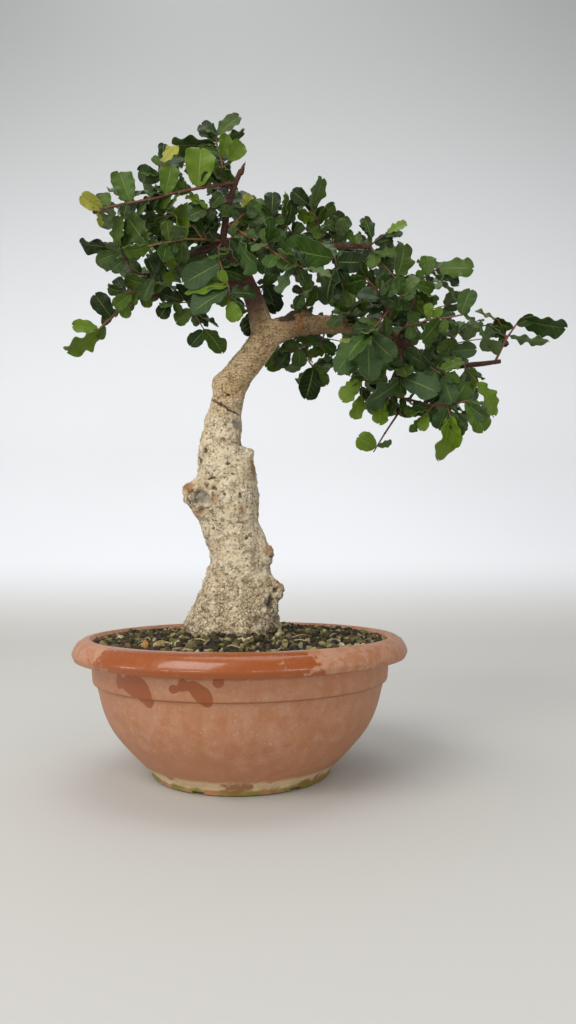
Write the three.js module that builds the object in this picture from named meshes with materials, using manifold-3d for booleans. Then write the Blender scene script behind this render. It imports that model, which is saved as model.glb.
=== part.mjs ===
// Carob bonsai in a round training bowl.
// Millimetres, +Z up, +X to the right and +Y to the back of the front view.
// The origin is the middle of the bowl's flat underside, where it stands.

import * as THREE from "three";
import { mergeVertices } from "three/addons/utils/BufferGeometryUtils.js";
import Module from "manifold-3d";

const wasm = await Module();
wasm.setup();

// Driving dimensions of the bowl
const RIM_RADIUS = 150;
const RIM_HEIGHT = 122;
const MOUTH_RADIUS = 132.3;
const LIP_ROUND = 2.7;
const BAND_RADIUS = 133;
const BAND_FOOT = 84;
const FOOT_RADIUS = 76.5;
const FLOOR_HEIGHT = 7;
const BOWL_SIDES = 32;
const DRAIN_COUNT = 6;
const DRAIN_RING = 45;
const DRAIN_RADIUS = 6;
const DRAIN_BEARING = -53;
const GROOVE_WIDTH = 11;
const GROOVE_DEPTH = 3;
const DRAIN_SIDES = 8;

// Outside of the bowl from the foot up to the rolled rim: radius, height
const BOWL_OUTSIDE = [
  [FOOT_RADIUS, 0],
  [80.5, 6],
  [92, 17],
  [104, 30],
  [114.5, 43.5],
  [122, 59],
  [127.8, BAND_FOOT - 4],
  [BAND_RADIUS - 2, BAND_FOOT],
  [BAND_RADIUS, 103],
  [RIM_RADIUS - 2, 104.5],
  [RIM_RADIUS, 109],
  [RIM_RADIUS - 6, RIM_HEIGHT - LIP_ROUND],
];

// Inside wall of the bowl from the mouth down to the floor: radius, height
const BOWL_INSIDE = [
  [MOUTH_RADIUS, RIM_HEIGHT - LIP_ROUND],
  [128, 88],
  [121, 66],
  [108, 40],
  [84, 15],
];

// Driving dimensions of the soil
const SOIL_GAP = 0.35;
const SOIL_EDGE_HEIGHT = 115.5;
const SOIL_MOUND = 10;
const MOUND_FALL = 4;
const SOIL_GRAIN = 1.3;
const SOIL_RINGS = 7;

// Driving dimensions of the trunk and stems
const NODE_GAP = 0.35;
const TRUNK_SIDES = 12;
const TRUNK_RINGS = 30;
const STEM_SIDES = 3;
const STEM_TAPER = 0.45;
const SIDE_STEM = 0.62;
const THINNEST_STEM = 0.75;
const BACK_TWIG_RADIUS = 1.7;

// Driving dimensions of the leaflets
const BLADE_THICKNESS = 1.2;
const NARROWEST_BLADE = 0.6;
const WAVES = 2.1;
const ARCH_TURN = 2.6;
const LARGE_LEAFLET = 34;
const SMALL_LEAFLET = 22;
const LEAST_LEAFLET = 10;
// Points along each edge of a leaflet, as shares of its length
const EDGES = {
  large: [0.16, 0.4, 0.66, 0.88],
  middle: [0.25, 0.6, 0.88],
  small: [0.36, 0.8],
};
const RIB_SHARES = [0.14, 0.62];
const RIB_TURN = 0.2;

// Compound leaf of the far side: places of its leaflet pairs along the rib, and their sizes and angles
const COMPOUND = {
  length: [37, 50],
  leaflet: [0.52, 0.6],
  breadth: 0.78,
  pairs: [0.52, 0.96],
  sizes: [0.92, 1],
  opens: [1.15, 0.75],
  starts: [{ part: 0, swing: 1 }, { part: 0.55, swing: -1 }, { part: 0.97, swing: 0 }],
  turns: [0, 0.4, -0.4, 0.8, -0.8],
  lifts: [0, 0.35, -0.35],
};
const RACHIS_HALF = 0.8;
const RACHIS_FOOT = 1.2;
const LEAFLET_RIM = [[0.4, -1], [0.88, -1], [0.88, 1], [0.4, 1]];

// Clearances between leaves and stems, and the trials that find them
const LEAF_CLEARANCE = 3;
const TWIN_CLEARANCE = 1.8;
const STEM_CLEARANCE = 1.6;
const SHOULDER = 7;
const BASE_SPACING = 1.9;
const STEM_STEPS = 8;
const STEM_SPOT_STEP = 3;
const CELL = 40;
const LEANS = [0, 5, -5, 10, -10, 15, -15, 20, -20, 26, -26];
const ROLLS = [0, 0.45, -0.45];
const SHRINKS = [1, 0.8];
const UPRIGHT = new THREE.Vector3(0, 0, 1);

// Front view: the outlines of the tree are given as they are seen from this point.
// A seen point is [across, down, depth]: picture units and millimetres behind the bowl's axis.
const VIEW = {
  centreAcross: 288,
  centreDown: 512,
  focal: 754.9,
  pitch: THREE.MathUtils.degToRad(3.57),
  roll: THREE.MathUtils.degToRad(-0.27),
  x: 42.9,
  y: -696.9,
  z: 190.3,
};

// Colours
const FINISHES = {
  bowl: { color: 0xb4694a, roughness: 0.45, metalness: 0 },
  soil: { color: 0x3d3a26, roughness: 0.95, metalness: 0 },
  trunk: { color: 0xa8967a, roughness: 0.9, metalness: 0 },
  leaves: { color: 0x2f5a2a, roughness: 0.4, metalness: 0 },
};

function place([across, down, depth]) {
  const px = across - VIEW.centreAcross;
  const py = down - VIEW.centreDown;
  const qx = (px * Math.cos(VIEW.roll) + py * Math.sin(VIEW.roll)) / VIEW.focal;
  const qy = (-px * Math.sin(VIEW.roll) + py * Math.cos(VIEW.roll)) / VIEW.focal;
  const ahead = Math.cos(VIEW.pitch) + qy * Math.sin(VIEW.pitch);
  const rise = Math.sin(VIEW.pitch) - qy * Math.cos(VIEW.pitch);
  const reach = (depth - VIEW.y) / ahead;
  return new THREE.Vector3(VIEW.x + reach * qx, depth, VIEW.z + reach * rise);
}

// The across and down at which a point is seen
function seenAt(point) {
  const away = point.clone().sub(new THREE.Vector3(VIEW.x, VIEW.y, VIEW.z));
  const ahead = away.y * Math.cos(VIEW.pitch) + away.z * Math.sin(VIEW.pitch);
  const qx = (VIEW.focal * away.x) / ahead;
  const qy = (VIEW.focal * (away.y * Math.sin(VIEW.pitch) - away.z * Math.cos(VIEW.pitch))) / ahead;
  const px = qx * Math.cos(VIEW.roll) - qy * Math.sin(VIEW.roll);
  const py = qx * Math.sin(VIEW.roll) + qy * Math.cos(VIEW.roll);
  return [VIEW.centreAcross + px, VIEW.centreDown + py];
}

// Millimetres for one picture unit at a depth
function unitSize(depth) {
  return (depth - VIEW.y) / VIEW.focal;
}

// Repeatable draws between two values
let drawState = 20177;
function draw(low, high) {
  drawState = (drawState * 16807) % 2147483647;
  return low + ((high - low) * drawState) / 2147483647;
}

// Solids
function solidOf(geometry) {
  const bare = geometry.index ? geometry.toNonIndexed() : geometry.clone();
  bare.deleteAttribute("normal");
  bare.deleteAttribute("uv");
  const merged = mergeVertices(bare, 1e-4);
  return new wasm.Manifold(
    new wasm.Mesh({
      numProp: 3,
      vertProperties: new Float32Array(merged.attributes.position.array),
      triVerts: new Uint32Array(merged.index.array),
    }),
  );
}

function geometryOf(solid) {
  const mesh = solid.getMesh();
  const geometry = new THREE.BufferGeometry();
  geometry.setAttribute("position", new THREE.BufferAttribute(mesh.vertProperties, 3));
  geometry.setIndex(new THREE.BufferAttribute(mesh.triVerts, 1));
  geometry.computeVertexNormals();
  return geometry;
}

function joined(solids) {
  return solids.reduce((whole, piece) => whole.add(piece));
}

// Keeps the largest of a solid's loose parts
function largest(solid) {
  const parts = solid.decompose();
  return parts.reduce((best, part) => (part.volume() > best.volume() ? part : best));
}

// Directions across a row of points, carried along it without twist
function framesAlong(points) {
  const last = points.length - 1;
  const frames = [];
  let across = new THREE.Vector3(1, 0, 0);
  for (let i = 0; i <= last; i += 1) {
    const ahead = points[Math.min(i + 1, last)].clone().sub(points[Math.max(i - 1, 0)]).normalize();
    if (i === 0 && Math.abs(ahead.x) > 0.8) {
      across = new THREE.Vector3(0, 0, 1);
    }
    across = across.clone().addScaledVector(ahead, -across.dot(ahead)).normalize();
    frames.push({ across, up: ahead.clone().cross(across) });
  }
  return frames;
}

// A closed tube over a row of points, with a radius for each ring and bearing round it
function tube(points, radiusAt, sides) {
  const rings = points.length;
  const corners = framesAlong(points).flatMap(({ across, up }, ring) =>
    Array.from({ length: sides }, (_, k) => {
      const bearing = (2 * Math.PI * k) / sides;
      const radius = radiusAt(ring, bearing);
      return points[ring]
        .clone()
        .addScaledVector(across, radius * Math.cos(bearing))
        .addScaledVector(up, radius * Math.sin(bearing));
    }));
  const faces = [];
  for (let ring = 0; ring + 1 < rings; ring += 1) {
    for (let k = 0; k < sides; k += 1) {
      const [a, b] = [ring * sides + k, ring * sides + ((k + 1) % sides)];
      faces.push([a, b, b + sides], [a, b + sides, a + sides]);
    }
  }
  const end = (rings - 1) * sides;
  for (let k = 1; k + 1 < sides; k += 1) {
    faces.push([0, k + 1, k], [end, end + k, end + k + 1]);
  }
  const geometry = new THREE.BufferGeometry().setFromPoints(corners);
  geometry.setIndex(faces.flat());
  return solidOf(geometry);
}

// Bowl: rolled rim, upright band, step and round body on a flat foot
function makeBowl() {
  const outline = [
    [0, 0],
    ...BOWL_OUTSIDE,
    [MOUTH_RADIUS + LIP_ROUND, RIM_HEIGHT],
    ...BOWL_INSIDE,
    [0, FLOOR_HEIGHT],
  ].map(([radius, height]) => new THREE.Vector2(radius, height));
  const lathe = new THREE.LatheGeometry(outline, BOWL_SIDES);
  lathe.rotateX(Math.PI / 2);
  let bowl = solidOf(lathe);
  for (let i = 0; i < DRAIN_COUNT; i += 1) {
    const bearing = THREE.MathUtils.degToRad(DRAIN_BEARING + (360 / DRAIN_COUNT) * i);
    const hole = new THREE.CylinderGeometry(DRAIN_RADIUS, DRAIN_RADIUS, 3 * FLOOR_HEIGHT, DRAIN_SIDES);
    hole.rotateX(Math.PI / 2);
    hole.translate(DRAIN_RING, 0, FLOOR_HEIGHT / 2);
    hole.rotateZ(bearing);
    const groove = new THREE.BoxGeometry(2 * DRAIN_RING, GROOVE_WIDTH, 2 * GROOVE_DEPTH);
    groove.translate(2 * DRAIN_RING, 0, 0);
    groove.rotateZ(bearing);
    bowl = bowl.subtract(solidOf(hole)).subtract(solidOf(groove));
  }
  return bowl;
}

// Soil: fills the bowl, mounded to the trunk, with a granular surface
function soilHeight(x, y) {
  const spread = Math.hypot(x - TRUNK_FOOT.x, y - TRUNK_FOOT.y) / MOUTH_RADIUS;
  const mound = SOIL_MOUND * Math.exp(-MOUND_FALL * spread * spread);
  const grain = Math.sin(0.9 * x + 1.7 * Math.sin(0.31 * y)) * Math.sin(0.8 * y + 1.3 * Math.sin(0.37 * x));
  return SOIL_EDGE_HEIGHT + mound + SOIL_GRAIN * grain;
}

function makeSoil(trunk) {
  const inset = 1.5 * SOIL_GAP;
  const [mouth, ...wall] = BOWL_INSIDE.map(([radius, height]) => new THREE.Vector2(radius - inset, height));
  const part = (mouth.y - SOIL_EDGE_HEIGHT) / (mouth.y - wall[0].y);
  const edge = mouth.x + (wall[0].x - mouth.x) * part;
  const outline = [new THREE.Vector2(0, FLOOR_HEIGHT + SOIL_GAP), ...wall.reverse()];
  for (let i = SOIL_RINGS; i >= 0; i -= 1) {
    outline.push(new THREE.Vector2((edge * i) / SOIL_RINGS, SOIL_EDGE_HEIGHT));
  }
  const lathe = new THREE.LatheGeometry(outline, BOWL_SIDES);
  lathe.rotateX(Math.PI / 2);
  const position = lathe.attributes.position;
  for (let i = 0; i < position.count; i += 1) {
    if (position.getZ(i) > SOIL_EDGE_HEIGHT - 0.01) {
      position.setZ(i, soilHeight(position.getX(i), position.getY(i)));
    }
  }
  return solidOf(lathe).subtract(trunk);
}

// Trunk axis from the soil to the fork: across, down, depth, half width, all as seen
const TRUNK_AXIS = [
  [232, 652, 4, 39],
  [232.5, 640, 4, 45],
  [233.5, 626, 4, 47.5],
  [235, 612, 4, 43],
  [236, 597, 4, 37.5],
  [237.5, 580, 4, 31],
  [239, 560, 4, 28.5],
  [238, 545, 4, 28.5],
  [232, 530, 4, 27.6],
  [229.7, 515, 4, 30],
  [228.5, 498, 4, 31.5],
  [227.6, 478, 4, 28.5],
  [223.5, 463, 4, 26.5],
  [220.5, 450, 4, 22.5],
  [222.2, 433, 4, 19.2],
  [224, 415, 4, 17.3],
  [228, 401, 4, 15.5],
  [230.5, 388, 4, 16],
  [239.5, 372.5, 4, 15],
  [252, 357, 4, 14.6],
  [262.5, 342, 3, 14.8],
  [268, 331, 2, 13.5],
];

// Swellings of the trunk: down as seen, bearing in degrees (0 right, -90 front), rise, spread
const TRUNK_KNOTS = [
  { name: "cut knot", down: 494, bearing: -160, rise: 11, spread: 14 },
  { name: "right knob", down: 462, bearing: -15, rise: 7, spread: 7 },
  { name: "upper burl", down: 556, bearing: -20, rise: 8, spread: 8 },
  { name: "lower burl", down: 584, bearing: -22, rise: 16, spread: 12 },
  { name: "foot burl", down: 605, bearing: -35, rise: 8, spread: 12 },
  { name: "bend burl", down: 387, bearing: 180, rise: 4, spread: 6 },
  { name: "left toe", down: 620, bearing: -150, rise: 5, spread: 14 },
  { name: "front toe", down: 624, bearing: -80, rise: 5, spread: 12 },
];

const TRUNK_FOOT = place(TRUNK_AXIS[2]);

// Limbs of the tree: points across, down, depth and a radius in millimetres
const LIMBS = {
  left: [[264, 336, 2, 12], [257, 308, 0, 9.6], [247.5, 285, -3, 8.2], [237, 262, -6, 7.4],
    [225, 242, -9, 6.4]],
  stub: [[222, 246, -8, 5.6], [228, 207, -10, 4.4], [234, 187, -11, 4.1], [241, 170, -12, 3.6]],
  right: [[262, 340, 3, 13], [284, 328, 2, 11.5], [304, 325, 3, 10], [322, 324.8, 4, 8.8],
    [352, 325.3, 5, 7.6], [378, 330, 5, 6.6], [398, 341, 4, 6]],
  far: [[394, 338, 4, 5.6], [418, 354, 7, 4.4], [446, 365.5, 9, 3.2], [474, 364.6, 10, 2.6],
    [501, 361.3, 10, 2.1]],
  droop: [[396, 338, 4, 5], [400.5, 360, 0, 3.6], [392, 386, -4, 2.8], [393, 398, -5, 2.6],
    [399.6, 412.6, -6, 2.4], [408, 416, -6, 1.9], [417.5, 413.5, -5, 1.3]],
  upper: [[231, 252, -7, 5.2], [250, 252, 12, 4.8], [276, 256, 26, 4.2], [304, 253, 36, 3.6],
    [334, 246, 42, 3], [371, 247, 44, 2.3]],
  leftMiddle: [[224, 243, -8, 4.4], [206, 249, -4, 4], [193, 253, -2, 3.6], [174, 260, 2, 2.9],
    [160, 265, 3, 2.2]],
  leftLow: [[243, 276, -4, 5], [226, 284, 8, 4.8], [206, 290, 14, 4.4], [186, 294, 14, 4],
    [162, 295, 10, 3.2], [137, 297.5, 5, 2.3]],
};

// Scar lump and growth ring where the right limb leaves the trunk
const FORK_LUMP = { at: [299, 317.5, 2], size: [13, 9, 8.5] };
const FORK_RING = { at: [302, 325, 3], to: [308.5, 325, 3], radius: 10.6 };

function smoothAxis(rows, count) {
  const curve = new THREE.CatmullRomCurve3(rows.map(place), false, "centripetal");
  return Array.from({ length: count + 1 }, (_, i) => curve.getPoint(i / count));
}

function trunkAxisAt(share) {
  const spot = share * (TRUNK_AXIS.length - 1);
  const row = Math.min(Math.floor(spot), TRUNK_AXIS.length - 2);
  const part = spot - row;
  return TRUNK_AXIS[row].map((value, i) => value * (1 - part) + TRUNK_AXIS[row + 1][i] * part);
}

// Trunk radius at a share of its axis and a bearing, with the swellings and the root flare
function trunkRadius(share, bearing) {
  const [, down, depth, halfWidth] = trunkAxisAt(share);
  const unit = unitSize(depth);
  let radius = halfWidth * unit * (1 + 0.025 * Math.sin(3 * bearing + 0.02 * down));
  const flare = Math.max(0, (down - 590) / 40);
  radius *= 1 + 0.05 * flare * Math.sin(5 * bearing + 1);
  for (const knot of TRUNK_KNOTS) {
    const turn = bearing - THREE.MathUtils.degToRad(knot.bearing);
    const around = Math.atan2(Math.sin(turn), Math.cos(turn)) * halfWidth * unit;
    const along = (down - knot.down) * unit;
    const far = (around * around + along * along) / (knot.spread * knot.spread);
    radius += knot.rise * Math.exp(-far);
  }
  return radius;
}

function makeTrunk(grow) {
  const axis = smoothAxis(TRUNK_AXIS, TRUNK_RINGS);
  // The tube's own bearing starts at +X and turns towards +Y
  const stem = tube(axis, (ring, bearing) => trunkRadius(ring / TRUNK_RINGS, bearing) + grow, TRUNK_SIDES);
  const limbs = Object.values(LIMBS).map((rows) => {
    const sides = rows[0][3] > 7 ? 8 : 6;
    return tube(rows.map(place), (ring) => rows[ring][3] + grow, sides);
  });
  const lump = new THREE.IcosahedronGeometry(1, 1);
  lump.scale(...FORK_LUMP.size.map((size) => size + grow));
  lump.translate(...place(FORK_LUMP.at).toArray());
  const ring = tube([place(FORK_RING.at), place(FORK_RING.to)], () => FORK_RING.radius + grow, 8);
  return joined([stem, ...limbs, solidOf(lump), ring]);
}

// Leafy shoots. Stems: rows of seen points, the first one inside a limb.
// Leaflets: base across and down, tip across and down, width across, all as seen.
const SHOOTS = [
  { name: "shoot_upper_left", radius: 1.9,
    stems: [
      [[235, 183, -11], [221, 184.5, -22], [203, 187.5, -34], [184, 191, -42], [168, 194.6, -48],
        [150, 199.6, -52], [135, 202, -55], [119, 205, -57], [103.5, 208.5, -60]],
      [[103.5, 208.5, -60], [98, 213, -61]],
      [[168, 194.6, -48], [159, 172, -46], [163.4, 158.5, -45]],
    ],
    leaflets: [
      [103.3, 207.5, 81, 194.6, 17], [98, 213, 99.5, 227, 7], [131, 202, 119, 172, 24],
      [130, 202.5, 123, 218, 11], [166, 194.6, 134, 196.5, 9], [166.5, 194.6, 171, 165.5, 20],
      [192, 189, 170.5, 187.5, 14], [196.4, 188, 200.5, 148.5, 31], [186.6, 190, 180.4, 172.8, 8],
      [202.7, 187, 207, 171.4, 9], [162.5, 159, 163.4, 144, 12], [163.5, 159, 177.5, 146.4, 9],
      [161, 162, 153, 156.5, 8], [161, 164, 167, 169.5, 8], [163.5, 160, 181, 157, 17],
      [163.4, 158.5, 186, 142.5, 9], [159, 166, 138.6, 171.4, 18],
    ] },
  { name: "shoot_top", radius: 1.6,
    stems: [
      [[233, 190, -11], [218, 180, -18], [223, 168.5, -20], [221, 158.5, -20], [216.5, 144, -17],
        [216.8, 134, -15]],
      [[223, 168.5, -20], [228.6, 160.5, -14]],
    ],
    leaflets: [
      [216, 143, 172, 144, 12], [216.5, 142, 201.3, 125.4, 17], [217, 145, 201, 149, 8],
      [216.8, 135.5, 240, 116.5, 15], [216.8, 137, 244, 131, 14], [220.7, 157, 226, 133.5, 14],
      [228.6, 160.5, 242.5, 142.8, 18], [219.5, 176, 211.6, 161.5, 12], [218, 180, 207, 177, 9],
      [221, 172, 229.5, 172, 8], [223.5, 168, 236, 177, 9],
    ] },
  { name: "shoot_upper_inner", radius: 1.3,
    stems: [
      [[230, 201, -10], [214.3, 206, -26], [203.8, 210.7, -34]],
    ],
    leaflets: [
      [203.8, 210.7, 190, 191, 12], [204, 210.7, 184.8, 198, 9], [204.5, 210.2, 222.3, 194, 12],
      [203.8, 210.9, 189, 207, 8], [210, 207.5, 207, 221, 9],
    ] },
  { name: "shoot_left_light", radius: 1.5,
    stems: [
      [[222, 241, -9], [203, 239.5, -24], [185, 239, -38], [165, 243, -50], [147.5, 246, -58]],
      [[203, 239.5, -24], [190, 223, -30], [176, 216, -36], [163, 216, -40]],
      [[207, 239.5, -20], [201.3, 228.6, -16]],
    ],
    leaflets: [
      [184, 239, 172, 211, 14], [184.6, 239, 184.5, 204, 9], [148.4, 245.5, 127.9, 216.1, 24],
      [147.6, 246, 123.6, 250, 14], [169, 242.3, 166.5, 220.5, 15], [164.5, 216, 148, 197.3, 17],
      [163, 216, 148, 229.5, 18], [201.3, 228.6, 195.5, 213, 11], [201.5, 228.6, 215, 211.6, 11],
      [202, 230, 187, 231, 9], [176, 241, 172, 254, 11],
    ] },
  { name: "shoot_left_outer", radius: 1.4,
    stems: [
      [[162, 264.4, 3], [148, 274, -10], [138, 274, -18], [131, 269, -26], [127, 262, -32],
        [119, 252, -38], [117, 246, -40]],
    ],
    leaflets: [
      [117, 246, 80, 242.3, 14], [117.6, 247, 121, 215.5, 15], [119.5, 253, 96.6, 262.5, 13],
      [125, 259.5, 110.9, 271.3, 14], [127.5, 263, 141, 246, 14], [118.5, 250, 129, 231, 9],
    ] },
  { name: "shoot_left_lime", radius: 1.1,
    stems: [
      [[181, 257.5, 0], [177.5, 268, -8], [175, 273, -10]],
    ],
    leaflets: [
      [176.8, 268.5, 163.4, 254.8, 11], [175, 273, 162.5, 280.7, 11],
    ] },
  { name: "shoot_low_left_upper", radius: 1.5,
    stems: [
      [[152, 296, 7], [144, 293, -8], [137.7, 292, -16], [124.5, 293, -24]],
      [[144, 293, -8], [150, 284, -20], [155, 274, -28]],
    ],
    leaflets: [
      [149, 286, 124.7, 277, 18], [153.5, 277, 143, 301, 15], [155, 274, 152.5, 256, 17],
      [126, 293, 117, 278, 12], [124.5, 293, 108.2, 286.5, 13], [126.5, 293, 113.6, 306.6, 14],
      [145.5, 293, 146, 308.4, 13], [137.5, 292, 135, 305, 8],
    ] },
  { name: "shoot_low_left_end", radius: 2.2,
    stems: [
      [[140, 297.2, 5.5], [124, 306.5, 3], [112, 317, 0], [98, 330.5, -4]],
    ],
    leaflets: [
      [111, 317.5, 93.9, 294, 20], [98.6, 330, 72, 326, 15], [98, 330.5, 65.4, 349.5, 18],
      [101, 328, 108, 316, 8], [99, 330, 99.8, 339.5, 9], [127, 305, 124, 318.5, 12],
    ] },
  { name: "shoot_low_left_hang", radius: 1.2,
    stems: [
      [[187, 294, 14], [188, 302, 2], [196, 316, -6], [205, 331.5, -10]],
      [[188, 302, 2], [178, 303, -6], [168, 303, -12]],
    ],
    leaflets: [
      [204, 331, 190.2, 346.8, 16], [205, 331.5, 222.3, 354, 16], [192.5, 310, 175.9, 322.7, 16],
      [168.5, 303, 159, 318, 15], [174, 303, 181, 312, 9],
    ] },
  { name: "shoot_hub_down", radius: 1.6,
    stems: [
      [[222, 243, -9], [218.5, 248, -22], [220.5, 262, -34], [224, 276, -40], [229, 287, -42],
        [230, 302, -40]],
    ],
    leaflets: [
      [220.5, 263, 183, 284, 26], [228, 286, 186, 292.5, 17], [227.5, 285, 219.5, 270.5, 10],
      [229, 289, 192, 314.6, 17], [230, 301, 236.5, 322, 17], [230, 300, 246, 311, 10],
      [229.6, 296, 219, 305, 11],
    ] },
  { name: "shoot_hub_right", radius: 1.2,
    stems: [
      [[224, 241.5, -9], [230, 238.5, -24], [239.5, 236.5, -32]],
    ],
    leaflets: [
      [230, 238.5, 242, 266.5, 12], [239.5, 236.5, 261.6, 265.6, 12], [234, 237.5, 231, 227, 8],
    ] },
  { name: "shoot_red_front", radius: 1.5,
    stems: [
      [[227, 224, -9.5], [238.4, 231, -26], [251, 238, -42], [260.7, 243, -54], [271.4, 250, -66],
        [292.9, 266, -86]],
      [[271.4, 250, -66], [266, 242.5, -72]],
      [[231, 226, -18], [240.6, 217, -26], [245, 213, -29]],
      [[292.9, 266, -86], [298, 265.5, -89], [306, 268.5, -90]],
    ],
    leaflets: [
      [292.9, 266.5, 282, 294, 14], [306, 268.5, 292.7, 248.4, 9], [299, 266, 303, 254, 8],
      [266, 242.5, 262, 228.8, 9], [266.4, 243, 279, 247.5, 9], [266, 242.3, 284, 233, 13],
      [254, 239.5, 249, 230, 9], [240.3, 217.3, 234, 203, 12], [244.6, 213.4, 259.5, 203.5, 14],
      [245, 213, 249.8, 194.8, 13], [243, 214.5, 262.5, 217.5, 13], [241, 216.6, 249, 223.5, 8],
    ] },
  { name: "shoot_crown_left", radius: 1.2,
    stems: [
      [[274, 255.7, 25], [274, 232, 8], [271.5, 212, -4]],
    ],
    leaflets: [
      [271.6, 213, 272.3, 193, 18], [271.6, 212.5, 258, 206, 11], [272.2, 217, 262, 226, 13],
      [271.8, 214, 285, 221, 9], [273.5, 229, 286.5, 245, 14],
    ] },
  { name: "shoot_crown_middle", radius: 1.3,
    stems: [
      [[304, 253, 36], [295, 236.5, 22], [286.4, 226, 10], [281.3, 214, 4]],
    ],
    leaflets: [
      [281.3, 214, 285.5, 193, 11], [285.5, 224, 276.5, 232, 9], [287, 226.8, 291, 212.5, 10],
      [293, 234, 303, 224, 10], [294.6, 236, 284, 240, 9],
    ] },
  { name: "shoot_crown_right", radius: 1.3,
    stems: [
      [[322, 249, 39.5], [320.4, 229, 24], [316.8, 218, 14], [308.4, 204, 4]],
    ],
    leaflets: [
      [308, 204, 291.3, 190.8, 16], [308.6, 204, 320.6, 177.8, 15], [316, 217, 298, 213.4, 16],
      [316.8, 218, 334, 203.6, 13], [319, 225, 308, 230, 9], [320.4, 229, 315.5, 239.5, 9],
    ] },
  { name: "shoot_crown_hub", radius: 1.2,
    stems: [
      [[334, 246, 42], [330, 233, 34]],
      [[336, 246, 42], [339, 237, 36], [337, 229, 32]],
    ],
    leaflets: [
      [330, 233, 337.5, 217.5, 11], [337, 229, 350, 219.8, 12], [331, 237, 322, 236, 7],
      [330, 233, 324, 222, 9],
    ] },
  { name: "shoot_round_leaf", radius: 1.4,
    stems: [
      [[343, 325, 5], [347, 308, -34], [342, 285, -60], [334.5, 256, -70]],
    ],
    leaflets: [
      [334.5, 256, 284, 245.7, 31], [334.8, 257, 362, 262, 21], [337, 266, 329, 304, 13],
      [335.5, 260, 346, 281, 14], [343, 290, 352, 306, 12],
    ] },
  { name: "shoot_right_hub", radius: 1.7,
    stems: [
      [[371, 247, 44], [380.5, 262, 38], [397.5, 280, 30]],
      [[371, 247, 44], [372, 238, 40]],
      [[372, 244, 42], [380, 238, 36], [387, 233, 32]],
    ],
    leaflets: [
      [372, 238, 363.5, 217.7, 12], [373, 243, 393.4, 239.6, 14], [387, 233, 407, 223.5, 11],
      [372.9, 250, 364.5, 262, 14], [376, 255, 391.6, 265, 7], [395.2, 277.5, 402.5, 244.5, 21],
      [396.5, 279, 378, 290, 17],
    ] },
  { name: "shoot_limb_hub", radius: 1.1,
    stems: [
      [[355, 246.6, 43.5], [353.5, 241, 36]],
    ],
    leaflets: [
      [353.5, 241, 347.5, 231, 9], [353.8, 242, 361, 236, 7],
    ] },
  { name: "shoot_right_front", radius: 1.9,
    stems: [
      [[393, 338, 4], [388, 311, -32], [377, 290, -50], [366, 278, -60]],
      [[388, 311, -32], [401.4, 294.5, -42]],
      [[388, 311, -32], [378.2, 323.4, -52], [373.5, 328, -58], [364, 340, -66]],
    ],
    leaflets: [
      [366, 278, 341.6, 284.6, 24], [367, 279, 360, 261, 12], [376.4, 289.4, 374.6, 281, 8],
      [377.5, 291, 397, 304, 15], [401.4, 294.5, 400.5, 282, 10], [400, 296, 392, 309, 10],
      [386, 307, 368, 309, 13], [365.5, 338, 372, 325.5, 9], [374, 327.5, 352, 330, 14],
      [364, 340, 337, 374.3, 19], [365, 339, 368.4, 381.4, 22], [365.5, 338.5, 394.3, 359, 24],
      [364.3, 339.6, 347, 362, 11], [364, 340, 339.4, 339.5, 7], [364, 340, 351, 377, 7],
    ] },
  { name: "shoot_right_green", radius: 1.6,
    stems: [
      [[404, 345, 5], [404.5, 325, -8], [413.9, 301.6, -16], [414.8, 283, -16], [428.2, 274.8, -14],
        [438.5, 268, -12]],
    ],
    leaflets: [
      [428.2, 275, 427, 256, 17], [438.5, 268, 474, 269, 15], [438, 269, 458.4, 285.4, 14],
      [416, 282.5, 434, 290, 13], [414.6, 285, 402.5, 301, 14], [414, 300, 426.4, 317, 13],
      [415, 282.5, 399, 277, 6], [416, 282, 420.5, 270, 9], [414.5, 288, 435.4, 299, 10],
      [430, 274, 453, 302, 6], [409, 313, 397, 318, 11],
    ] },
  { name: "shoot_right_long", radius: 1.6,
    stems: [
      [[396, 340, 4], [405, 327, -20], [420, 323, -30], [430, 319.3, -34], [445, 318.2, -38],
        [464.5, 314.3, -42]],
    ],
    leaflets: [
      [461, 315, 471, 290, 19], [464.5, 314.3, 485.6, 341.6, 10], [429.5, 319.5, 429, 303, 10],
      [431, 319.3, 441, 308, 9], [445, 318, 442, 333, 10], [441, 318.4, 421, 341, 15],
      [420, 323, 434, 334, 12], [412, 325, 411, 340, 12],
    ] },
  { name: "shoot_far_end", radius: 1.5,
    stems: [
      [[495, 362, 10], [505.5, 340, 4], [509, 335, 3], [513.7, 328, 2], [521, 318, 0]],
      [[505.5, 340, 4], [504, 331, 2], [498, 319.5, 0]],
    ],
    leaflets: [
      [513.7, 328, 494, 320, 11], [514.5, 327, 533.5, 317, 12], [521, 318, 566.5, 326.5, 13],
      [509, 335.5, 548.9, 340.4, 10], [498, 319.5, 475.5, 312, 7], [504.5, 334, 502.5, 324.5, 7],
    ] },
  { name: "shoot_far_middle", radius: 1.2,
    stems: [
      [[452, 365.5, 9.2], [453.5, 359, -2], [448, 349, -8]],
    ],
    leaflets: [
      [450, 352, 477, 349.6, 15], [453.5, 359, 449.5, 337.5, 12], [448, 349, 437, 367, 14],
      [448, 349, 438, 345, 9],
    ] },
  { name: "shoot_far_low", radius: 1.2,
    stems: [
      [[464, 365, 9.7], [466, 370, -6], [477, 382, -12]],
    ],
    leaflets: [
      [465.8, 370, 470, 389.6, 17], [477, 382, 492, 416.8, 8], [466, 370, 477.5, 373.5, 6],
    ] },
  { name: "shoot_low_right", radius: 1.5,
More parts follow.
